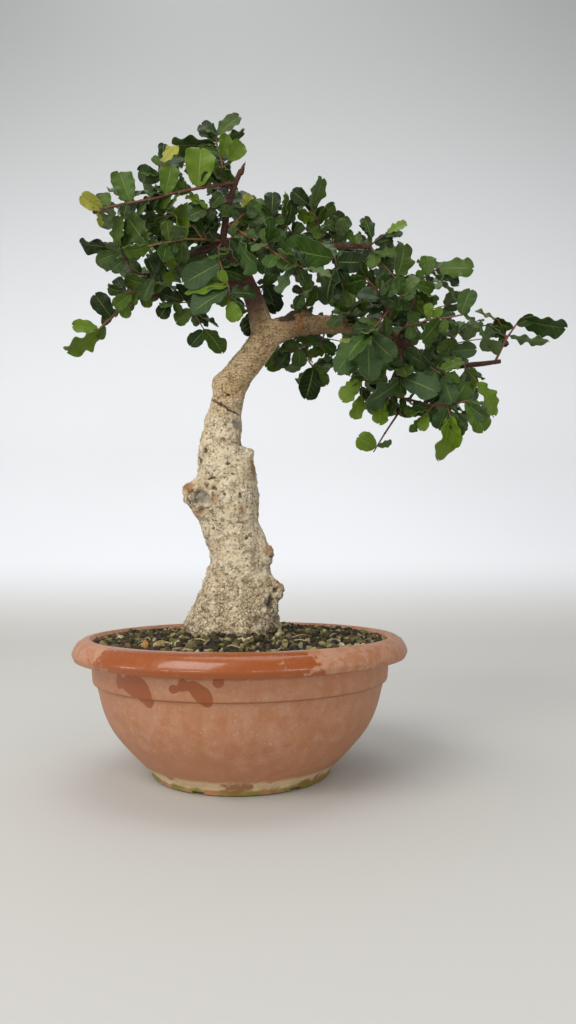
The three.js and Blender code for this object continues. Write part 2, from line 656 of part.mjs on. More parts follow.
    stems: [
      [[392.8, 396, -5], [403, 398, -12], [433, 405.5, -24], [447, 405, -30], [456, 403.4, -33],
        [468.5, 400.5, -38]],
      [[447, 405, -30], [450.4, 418, -34]],
      [[433, 405.5, -24], [421, 418, -26]],
    ],
    leaflets: [
      [468.3, 400.6, 483.4, 432.4, 20], [468.5, 400.5, 486, 417.7, 13], [450.4, 418, 437, 460.5, 15],
      [450, 416, 456, 448, 9], [450.4, 417.7, 460.8, 437, 14], [449.5, 414, 457, 404.5, 10],
      [446.8, 405, 437.5, 429.3, 20], [428.5, 408.5, 412, 405.5, 10], [426.4, 411, 422, 431.4, 11],
      [421, 418, 409.5, 431.9, 8], [401.4, 398, 404.6, 418, 8],
    ] },
  { name: "shoot_low_right_front", radius: 1.2,
    stems: [
      [[424, 356.5, 7.2], [431, 368, -22], [444, 376, -36]],
    ],
    leaflets: [
      [431, 368, 406, 350, 20], [444, 376, 453, 404.3, 17], [437, 372, 425, 386, 14],
    ] },
  { name: "shoot_centre_down", radius: 1.2,
    stems: [
      [[400, 352, 1], [402, 360, -18], [400, 381.4, -32]],
    ],
    leaflets: [
      [400, 381.4, 364, 402.9, 17], [400.5, 381.4, 439, 394, 21], [400, 380, 399, 398, 9],
      [401, 370, 414, 372, 11],
    ] },
  { name: "shoot_hang_left", radius: 1.3,
    stems: [
      [[386, 334, 4.7], [380, 352, -14], [370, 367, -30], [361, 379, -38], [362, 396, -38]],
    ],
    leaflets: [
      [361, 379, 341.6, 401, 21], [362, 396, 351.9, 418.9, 13], [361.5, 387, 367, 399, 9],
      [372, 365, 384, 374, 12],
    ] },
  { name: "shoot_droop_leaf", radius: 1.1,
    stems: [
      [[392.4, 394, -4.7], [386, 398.2, -12], [378, 398.4, -16]],
    ],
    leaflets: [
      [378, 398.4, 378.2, 425.2, 18], [387, 398, 385.5, 405.5, 7], [378, 398.4, 371, 394, 6],
    ] },
  { name: "shoot_droop_end", radius: 1.3,
    stems: [
      [[399, 412, -6], [385, 433, -8], [373.5, 452, -8]],
    ],
    leaflets: [
      [375.5, 448.5, 357.5, 436, 20], [376.5, 447, 391.5, 440, 8],
    ] },
  { name: "shoot_under_left", radius: 1.2,
    stems: [
      [[328, 325, 5], [320.4, 343.6, 24], [308, 345.5, 26], [298, 348, 25], [288, 352, 22]],
      [[308, 345.5, 26], [308, 359, 24], [314, 367.7, 22]],
    ],
    leaflets: [
      [299.4, 348, 299.4, 367, 16], [288.5, 351.6, 278.4, 367, 15], [288, 352, 265.9, 368.6, 12],
      [298, 348, 286, 341, 11], [313.2, 367, 305.2, 400.3, 22], [314, 367.7, 326.6, 385.5, 16],
      [308, 357, 323, 350.7, 14], [320, 343.8, 300.7, 336.4, 12],
    ] },
  { name: "shoot_fork_back", radius: 1.2,
    stems: [
      [[256, 305, 0], [262, 318, 26]],
      [[256, 305, 0], [266, 281, 20]],
    ],
    leaflets: [
      [262, 318, 242.5, 333, 17], [266, 281, 277, 313, 19], [266, 281, 278, 268, 15],
    ] },
  { name: "shoot_limb_middle", radius: 1.1,
    stems: [
      [[311, 324, 3.4], [307.5, 312, -4], [303, 296, -8], [302.5, 289.5, -10]],
    ],
    leaflets: [
      [303, 295, 295.5, 308, 12], [302.5, 289.5, 310, 281.5, 9], [302.5, 289.5, 292.5, 287, 9],
      [306, 307, 318, 286, 15],
    ] },
  { name: "shoot_limb_top", radius: 1.1,
    stems: [
      [[349, 325, 5], [350, 314, 0], [354, 308, -4], [368, 297, -6]],
    ],
    leaflets: [
      [350, 314.5, 337, 303, 13], [352, 311, 349, 292.5, 13], [366, 299, 358, 293, 9],
      [356, 306.5, 372, 307, 11],
    ] },
];

// Shoots of the far side: a bare twig each, leafed by the rule of the compound leaf
const BACK_TWIGS = [
  { name: "back_shoot_left_high", route: [[226, 240, -8], [205, 226, 40], [180, 212, 78]] },
  { name: "back_shoot_top", route: [[228, 207, -10], [217, 186, 32], [205, 163, 55]] },
  { name: "back_shoot_left", route: [[176, 259, 1.5], [158, 247, 44], [142, 238, 66]] },
  { name: "back_shoot_left_low", route: [[164, 295, 10.3], [150, 284, 46], [134, 276, 72]] },
  { name: "back_shoot_inner_left", route: [[206, 290, 14], [203, 285, 52], [190, 284, 92]] },
  { name: "back_shoot_inner", route: [[238, 264, -5.6], [228, 262, 50], [218, 262, 100]] },
  { name: "back_shoot_crown_left", route: [[252, 252.5, 13], [250, 232, 60], [246, 216, 98]] },
  { name: "back_shoot_crown", route: [[288, 255, 30], [288, 240, 76], [286, 228, 120]] },
  { name: "back_shoot_crown_right", route: [[312, 251, 37.5], [318, 246, 84], [322, 240, 124]] },
  { name: "back_shoot_hub", route: [[350, 246.5, 43], [356, 252, 84], [362, 258, 116]] },
  { name: "back_shoot_limb", route: [[354, 325.5, 5], [350, 312, 54], [342, 300, 96]] },
  { name: "back_shoot_right", route: [[400, 342, 4.6], [410, 320, 52], [420, 302, 88]] },
  { name: "back_shoot_right_low", route: [[372, 329, 5], [380, 350, 52], [386, 370, 88]] },
  { name: "back_shoot_far", route: [[436, 361.5, 8.4], [448, 346, 48], [460, 330, 72]] },
  { name: "back_shoot_far_low", route: [[430, 359, 8], [440, 380, 50], [452, 396, 78]] },
  { name: "back_shoot_under", route: [[318, 325, 4], [312, 338, 44], [300, 350, 70]] },
];

// Outline of the crown as seen: the leaves of the far side stay within it
const CROWN = [
  [240, 116], [246, 132], [244, 146], [250, 180], [262, 194], [286, 192], [318, 178], [334, 204],
  [364, 218], [378, 234], [407, 224], [404, 244], [427, 256], [474, 269], [472, 290], [478, 312],
  [502, 322], [534, 318], [566, 326], [548, 341], [502, 350], [500, 366], [484, 376], [492, 416],
  [483, 432], [437, 460], [422, 432], [378, 426], [360, 420], [337, 374], [326, 386], [305, 400],
  [278, 367], [266, 352], [240, 334], [222, 354], [205, 332], [176, 324], [159, 318], [124, 318],
  [72, 348], [66, 330], [94, 294], [97, 262], [80, 242], [100, 226], [81, 195], [119, 172],
  [138, 160], [172, 143], [201, 126],
];

// Whether a point is seen inside the crown's outline
function isInCrown(point) {
  const [across, down] = seenAt(point);
  return CROWN.reduce((inside, [x, y], i) => {
    const [nextX, nextY] = CROWN[(i + 1) % CROWN.length];
    const crosses = y > down !== nextY > down && across < x + ((nextX - x) * (down - y)) / (nextY - y);
    return crosses ? !inside : inside;
  }, false);
}

// Outline of a leaflet: half width at a share of its length, 1 at its widest
function bladeOutline(share) {
  return (Math.pow(share, 0.62) * Math.sqrt(1 - Math.pow(share, 3.2))) / 0.667;
}

// A point of a leaflet's middle surface: share along the rib, side from -1 to 1
function bladePoint(leaf, share, side, lift = 0) {
  const half = 0.5 * leaf.width * bladeOutline(share);
  const ripple = Math.sin(2 * Math.PI * WAVES * share + leaf.phase + (side > 0 ? 0 : 2));
  const wave = leaf.wave * leaf.length * side * side * share * ripple;
  const bow = leaf.arch * leaf.length * Math.sin(ARCH_TURN * share);
  const rise = bow + leaf.fold * Math.abs(side) * half + wave + lift;
  return leaf.base
    .clone()
    .addScaledVector(leaf.axis, leaf.length * share)
    .addScaledVector(leaf.side, side * half)
    .addScaledVector(leaf.normal, rise);
}

// A leaflet: a waved blade, thickest at its rib, split alike on both faces
function bladeSolid(leaf) {
  const edge = EDGES[leaf.detail];
  const tip = edge.length + 1;
  const last = 2 * tip - 1;
  const rim = [
    bladePoint(leaf, 0, 0),
    ...edge.map((share) => bladePoint(leaf, share, 1)),
    bladePoint(leaf, 1, 0),
    ...edge.toReversed().map((share) => bladePoint(leaf, share, -1)),
  ];
  const rib = (face) => RIB_SHARES.map((share) => bladePoint(leaf, share, 0, 0.5 * face * BLADE_THICKNESS));
  const turn = edge.findIndex((share) => share > RIB_TURN) + 1;
  const faces = (low, high) => {
    const fans = [[turn, high, low], [2 * tip - turn, low, high]];
    for (let i = 0; i <= last; i += 1) {
      const centre = i < turn || i >= 2 * tip - turn ? low : high;
      fans.push([i, (i + 1) % (last + 1), centre]);
    }
    return fans;
  };
  const front = faces(last + 1, last + 2).map(([a, b, c]) => [a, c, b]);
  const back = faces(last + 3, last + 4);
  const geometry = new THREE.BufferGeometry().setFromPoints([...rim, ...rib(1), ...rib(-1)]);
  geometry.setIndex([...front, ...back].flat());
  return solidOf(geometry);
}

// A point of a compound leaf's middle surface, in millimetres along and beside its rib
function leafPoint(leaf, along, beside, lift = 0) {
  const bow = leaf.arch * leaf.length * Math.sin((ARCH_TURN * along) / leaf.length);
  return leaf.base
    .clone()
    .addScaledVector(leaf.axis, along)
    .addScaledVector(leaf.side, beside)
    .addScaledVector(leaf.normal, bow + leaf.fold * Math.abs(beside) + lift);
}

// A point of one of its leaflets: share along the leaflet, side from -1 towards the twig to 1
function leafletPoint(leaf, pair, hand, share, side, lift = 0) {
  const size = leaf.leaflet * COMPOUND.sizes[pair];
  const open = COMPOUND.opens[pair];
  const half = 0.5 * COMPOUND.breadth * size * bladeOutline(share) * side;
  const along = COMPOUND.pairs[pair] * leaf.length + share * size * Math.cos(open) + half * Math.sin(open);
  const beside = RACHIS_HALF + share * size * Math.sin(open) - half * Math.cos(open);
  const ripple = Math.sin(2 * Math.PI * WAVES * share + leaf.phase + 2 * hand + pair + side);
  return leafPoint(leaf, along, hand * beside, leaf.wave * size * side * side * share * ripple + lift);
}

// Compound leaf: paired leaflets cut to the rib of one thin arched blade
function compoundSolid(leaf) {
  const points = [];
  const add = (point) => points.push(point) - 1;
  const root = add(leafPoint(leaf, 0, 0));
  const end = add(leafPoint(leaf, leaf.length + RACHIS_FOOT, 0));
  const faces = [];
  const ribs = [1, -1].map((face) => COMPOUND.pairs.map((share) =>
    add(leafPoint(leaf, share * leaf.length, 0, 0.5 * face * BLADE_THICKNESS))));
  for (const hand of [1, -1]) {
    let before = root;
    COMPOUND.pairs.forEach((share, pair) => {
      const foot = [-1, 1].map((way) =>
        add(leafPoint(leaf, share * leaf.length + way * RACHIS_FOOT, hand * RACHIS_HALF)));
      const round = LEAFLET_RIM.map(([along, side]) => add(leafletPoint(leaf, pair, hand, along, side)));
      const rim = [foot[0], ...round, foot[1]];
      [1, -1].forEach((face, k) => {
        const middle = add(leafletPoint(leaf, pair, hand, 0.5, 0, 0.5 * face * BLADE_THICKNESS));
        const rib = ribs[k][pair];
        const behind = ribs[k][Math.max(pair - 1, 0)];
        const fans = rim.slice(1).map((corner, i) => [rim[i], corner, middle]);
        fans.push([before, foot[0], behind], [foot[0], middle, rib], [middle, foot[1], rib]);
        if (pair > 0) {
          fans.push([foot[0], rib, behind]);
        }
        if (pair === COMPOUND.pairs.length - 1) {
          fans.push([foot[1], end, rib]);
        }
        faces.push(...fans.map(([a, b, c]) => (hand * face > 0 ? [a, c, b] : [a, b, c])));
      });
      before = foot[1];
    });
  }
  const geometry = new THREE.BufferGeometry().setFromPoints(points);
  geometry.setIndex(faces.flat());
  return solidOf(geometry);
}

// Spots that leaves keep clear of, in square cells of the front view
const taken = new Map();

function take(spots) {
  for (const spot of spots) {
    const key = `${Math.floor(spot.point.x / CELL)},${Math.floor(spot.point.z / CELL)}`;
    if (!taken.has(key)) {
      taken.set(key, []);
    }
    taken.get(key).push(spot);
  }
}

function bladeSpots(leaf) {
  const spots = [{ point: bladePoint(leaf, 1, 0), share: 1 }];
  for (let i = 1; i <= 6; i += 1) {
    for (let j = -2; j <= 2; j += 1) {
      spots.push({ point: bladePoint(leaf, 0.15 * i, 0.45 * j), share: 0.15 * i });
    }
  }
  return spots.map((spot) => ({ ...spot, base: leaf.base, blade: true }));
}

function compoundSpots(leaf) {
  const spots = [];
  for (let i = 1; i <= 10; i += 1) {
    spots.push({ point: leafPoint(leaf, 0.1 * i * leaf.length, 0), share: 0.1 * i });
  }
  COMPOUND.pairs.forEach((_, pair) => {
    for (const hand of [1, -1]) {
      for (const share of [0.2, 0.4, 0.6, 0.8, 1]) {
        for (const side of [-0.9, -0.45, 0, 0.45, 0.9]) {
          spots.push({ point: leafletPoint(leaf, pair, hand, share, side), share: 1 });
        }
      }
    }
  });
  return spots.map((spot) => ({ ...spot, base: leaf.base, blade: true }));
}

function stemSpots(points, radii) {
  const spots = [];
  for (let i = 0; i + 1 < points.length; i += 1) {
    const steps = Math.ceil(points[i].distanceTo(points[i + 1]) / STEM_SPOT_STEP);
    for (let k = 0; k <= steps; k += 1) {
      const part = k / steps;
      const point = points[i].clone().lerp(points[i + 1], part);
      spots.push({ point, radius: radii[i] * (1 - part) + radii[i + 1] * part, blade: false });
    }
  }
  return spots;
}

// Whether a leaf's spot is far enough from a taken one. Leaves may meet near a shared base.
function isApart(mine, other, base) {
  const gap = mine.point.distanceTo(other.point);
  const baseGap = other.blade ? other.base.distanceTo(base) : other.point.distanceTo(base) - other.radius;
  if (!other.blade) {
    return baseGap <= SHOULDER || gap >= other.radius + STEM_CLEARANCE;
  }
  if (baseGap >= SHOULDER) {
    return gap >= LEAF_CLEARANCE;
  }
  return mine.share < 0.5 || other.share < 0.5 || gap >= TWIN_CLEARANCE;
}

function isClear(spots, base) {
  return spots.every((mine) => {
    const column = Math.floor(mine.point.x / CELL);
    const row = Math.floor(mine.point.z / CELL);
    for (let i = column - 1; i <= column + 1; i += 1) {
      for (let j = row - 1; j <= row + 1; j += 1) {
        const others = taken.get(`${i},${j}`) ?? [];
        if (!others.every((other) => isApart(mine, other, base))) {
          return false;
        }
      }
    }
    return true;
  });
}

// The directions of a leaf: its axis, its upper face turned about that axis, and its side
function frameOf(axis, facing, turn) {
  const flat = facing.clone().addScaledVector(axis, -facing.dot(axis)).normalize();
  const beside = axis.clone().cross(flat);
  const normal = flat.clone().multiplyScalar(Math.cos(turn)).addScaledVector(beside, Math.sin(turn));
  return { axis, normal, side: normal.clone().cross(axis) };
}

// Turns a base, a tip and a seen width into a blade that is clear of all that stands
function fitBlade(base, tipAt, seenWidth, looks) {
  const facing = new THREE.Vector3(VIEW.x, VIEW.y, VIEW.z).sub(base).normalize();
  for (const shrink of SHRINKS) {
    for (const lean of LEANS) {
      for (const roll of ROLLS) {
        const axis = tipAt(lean).sub(base).multiplyScalar(shrink);
        const length = axis.length();
        const width = Math.max(seenWidth * shrink, NARROWEST_BLADE * length);
        const narrowed = Math.acos(Math.min((seenWidth * shrink) / width, 1));
        const turn = narrowed * looks.handed + looks.roll + roll;
        const detail = length < SMALL_LEAFLET ? "small" : length > LARGE_LEAFLET ? "large" : "middle";
        const leaf = { ...looks, detail, base, length, width, ...frameOf(axis.normalize(), facing, turn) };
        const spots = bladeSpots(leaf);
        if (isClear(spots, base)) {
          take(spots);
          return leaf;
        }
      }
    }
  }
  return null;
}

function drawLooks() {
  return {
    lean: draw(-0.45, 0.45),
    roll: draw(-0.3, 0.3),
    handed: draw(-1, 1) > 0 ? 1 : -1,
    phase: draw(0, 2 * Math.PI),
    arch: draw(0.02, 0.1),
    fold: draw(0.05, 0.3),
    wave: draw(0.03, 0.07),
  };
}

// The spots of a shoot's stems in the order of their distance to a seen spot, nearest first
function spotsOnStems(stems, across, down) {
  const spots = [];
  for (const stem of stems) {
    for (let i = 0; i + 1 < stem.length; i += 1) {
      for (let k = 0; k < STEM_STEPS; k += 1) {
        const part = (k + 0.4) / STEM_STEPS;
        const spot = stem[i].map((value, n) => value + (stem[i + 1][n] - value) * part);
        spots.push({ spot, far: Math.hypot(spot[0] - across, spot[1] - down) });
      }
    }
  }
  return spots.sort((a, b) => a.far - b.far).map(({ spot }) => spot);
}

// Leaflets given by their seen base and tip, each at a place of its own on the stem
function seenLeaflets(shoot) {
  const used = [];
  const leaves = shoot.leaflets.map(([baseAcross, baseDown, tipAcross, tipDown, width]) => {
    const looks = drawLooks();
    const spots = spotsOnStems(shoot.stems, baseAcross, baseDown);
    const isFree = (one) => used.every((other) => other.distanceTo(place(one)) > BASE_SPACING);
    const spot = spots.find(isFree) ?? spots[0];
    const base = place(spot);
    used.push(base);
    const reach = Math.hypot(tipAcross - spot[0], tipDown - spot[1]) * unitSize(spot[2]);
    const tipAt = (lean) => place([tipAcross, tipDown, spot[2] + looks.lean * reach + lean]);
    return fitBlade(base, tipAt, width * unitSize(spot[2]), looks);
  });
  return leaves.filter(Boolean);
}

// The least leaflets are too small to model
function isModelled(leaf) {
  return leaf.length > LEAST_LEAFLET;
}

// Compound leaves of a bare twig, at the middle of it, past the middle and at its end
function compoundLeaves(twig) {
  const outwards = twig[2].clone().sub(twig[0]).normalize();
  const sideways = outwards.clone().cross(UPRIGHT).normalize();
  const facing = UPRIGHT.clone().addScaledVector(outwards, 0.7).normalize();
  const leaves = COMPOUND.starts.map(({ part, swing }) => {
    const looks = drawLooks();
    const base = twig[1].clone().lerp(twig[2], part);
    const drawnSwing = swing + draw(-0.25, 0.25);
    const climb = draw(-0.25, 0.35);
    const length = draw(...COMPOUND.length);
    const leaflet = length * draw(...COMPOUND.leaflet);
    for (const turn of COMPOUND.turns) {
      for (const lift of COMPOUND.lifts) {
        const axis = outwards
          .clone()
          .multiplyScalar(Math.cos(drawnSwing + turn))
          .addScaledVector(sideways, Math.sin(drawnSwing + turn))
          .addScaledVector(UPRIGHT, climb + lift)
          .normalize();
        const leaf = { ...looks, base, length, leaflet, ...frameOf(axis, facing, looks.roll) };
        const spots = compoundSpots(leaf);
        if (spots.every(({ point }) => isInCrown(point)) && isClear(spots, base)) {
          take(spots);
          return leaf;
        }
      }
    }
    return null;
  });
  return leaves.filter(Boolean);
}

// A shoot's stems as points and radii, tapered to their ends
function stemRows(stems, radius) {
  return stems.map((stem, i) => {
    const start = i === 0 ? radius : Math.max(SIDE_STEM * radius, THINNEST_STEM);
    const radii = stem.map((_, k) => start * (1 - (STEM_TAPER * k) / (stem.length - 1)));
    return { points: stem.map(place), radii };
  });
}

function makeShoots(trunk) {
  const axis = smoothAxis(TRUNK_AXIS, TRUNK_RINGS);
  take(stemSpots(axis, axis.map((_, i) => trunkRadius(i / TRUNK_RINGS, 0))));
  for (const rows of Object.values(LIMBS)) {
    take(stemSpots(rows.map(place), rows.map((row) => row[3])));
  }
  const seen = SHOOTS.map((shoot) => ({ ...shoot, tubes: stemRows(shoot.stems, shoot.radius) }));
  const hidden = BACK_TWIGS.map(({ name, route }) => {
    return { name, tubes: stemRows([route], BACK_TWIG_RADIUS) };
  });
  for (const shoot of [...seen, ...hidden]) {
    shoot.tubes.forEach(({ points, radii }) => take(stemSpots(points, radii)));
  }
  const grow = (name, tubes, blades) => {
    const stems = tubes.map(({ points, radii }) => tube(points, (ring) => radii[ring], STEM_SIDES));
    return { name, solid: largest(joined([...stems, ...blades]).subtract(trunk)) };
  };
  const near = seen.map((shoot) => {
    return grow(shoot.name, shoot.tubes, seenLeaflets(shoot).filter(isModelled).map(bladeSolid));
  });
  const far = hidden.map(({ name, tubes }) => {
    return grow(name, tubes, compoundLeaves(tubes[0].points).map(compoundSolid));
  });
  return [...near, ...far];
}

function mesh(name, solid, finish) {
  const piece = new THREE.Mesh(geometryOf(solid), new THREE.MeshStandardMaterial(finish));
  piece.name = name;
  return piece;
}

const bonsai = new THREE.Group();
const grownTrunk = makeTrunk(NODE_GAP);
bonsai.add(mesh("bowl", makeBowl(), FINISHES.bowl));
bonsai.add(mesh("soil", makeSoil(grownTrunk), FINISHES.soil));
bonsai.add(mesh("trunk", makeTrunk(0), FINISHES.trunk));
for (const { name, solid } of makeShoots(grownTrunk)) {
  bonsai.add(mesh(name, solid, FINISHES.leaves));
}

export default bonsai;
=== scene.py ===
"""Look of a carob bonsai in its bowl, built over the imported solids.

The leafy shoots are grown again from the tables that the solids were made from, with finer
blades and twigs. The trunk and the bowl are replaced by finer pieces, and the soil gets its
grains. Lengths are in millimetres until a mesh is closed, and then in metres.
"""

import logging
import math
from dataclasses import dataclass, field
from enum import Enum
from typing import Any, Callable, Iterable, Sequence

import bmesh
import bpy
import numpy as np
from mathutils import Matrix, Vector, noise


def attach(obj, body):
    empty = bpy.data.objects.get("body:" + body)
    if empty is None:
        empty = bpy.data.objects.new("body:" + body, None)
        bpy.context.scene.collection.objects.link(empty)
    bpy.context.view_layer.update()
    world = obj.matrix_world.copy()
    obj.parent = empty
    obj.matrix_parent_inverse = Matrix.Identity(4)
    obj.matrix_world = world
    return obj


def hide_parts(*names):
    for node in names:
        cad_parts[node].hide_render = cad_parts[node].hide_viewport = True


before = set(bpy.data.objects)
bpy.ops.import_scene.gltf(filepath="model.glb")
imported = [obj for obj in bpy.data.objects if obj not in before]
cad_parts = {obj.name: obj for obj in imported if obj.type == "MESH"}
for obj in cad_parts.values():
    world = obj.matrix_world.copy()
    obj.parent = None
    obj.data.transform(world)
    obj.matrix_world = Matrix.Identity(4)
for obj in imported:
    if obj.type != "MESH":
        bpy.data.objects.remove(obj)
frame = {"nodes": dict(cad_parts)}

log = logging.getLogger("bonsai")
MM = 0.001
Point = np.ndarray
Row = tuple[float, ...]


class Tint(Enum):
    """Colour group of a leaflet: shares of yellow, of lime, which is painted light shining through
    the leaf, and of a painted bluish sheen.
    """

    GREEN = (0.0, 0.0, 0.0)
    YELLOW = (1.0, 0.3, 0.0)
    LIME = (0.0, 1.0, 0.0)
    BLUISH_SHEEN = (0.0, 0.0, 1.0)


TINT_LETTERS = {"Y": Tint.YELLOW, "L": Tint.LIME, "D": Tint.BLUISH_SHEEN}


class Slot(Enum):
    """Material slots of the record."""

    BOWL = "bowl"
    SOIL = "soil"
    BARK = "bark"
    LEAF = "leaf"


def read_spots(text: str) -> tuple[Row, ...]:
    """Read rows of numbers with commas between them."""
    return tuple(tuple(map(float, row.split())) for row in text.split(","))


@dataclass(frozen=True)
class Shoot:
    """A leafy stem: stems as seen points, leaflets as seen base, tip, width and tint."""

    name: str
    radius: float
    stems: tuple
    leaflets: tuple

    @classmethod
    def read(cls, text: str) -> "Shoot":
        """Read a shoot.

        Args:
            text: Its name and radius, after a colon its stems, and after another its leaflets,
                each across and down of its base, across and down of its tip, width, and a
                letter where it isn't green.

        Returns:
            The shoot.
        """
        head, stems, leaves = text.split(":")
        name, radius = head.split()
        found = []
        for leaf in leaves.split(","):
            words = leaf.split()
            found.append((*map(float, words[:5]), TINT_LETTERS.get(words[-1], Tint.GREEN)))
        return cls(f"shoot_{name}", float(radius), tuple(map(read_spots, stems.split(";"))),
                   tuple(found))


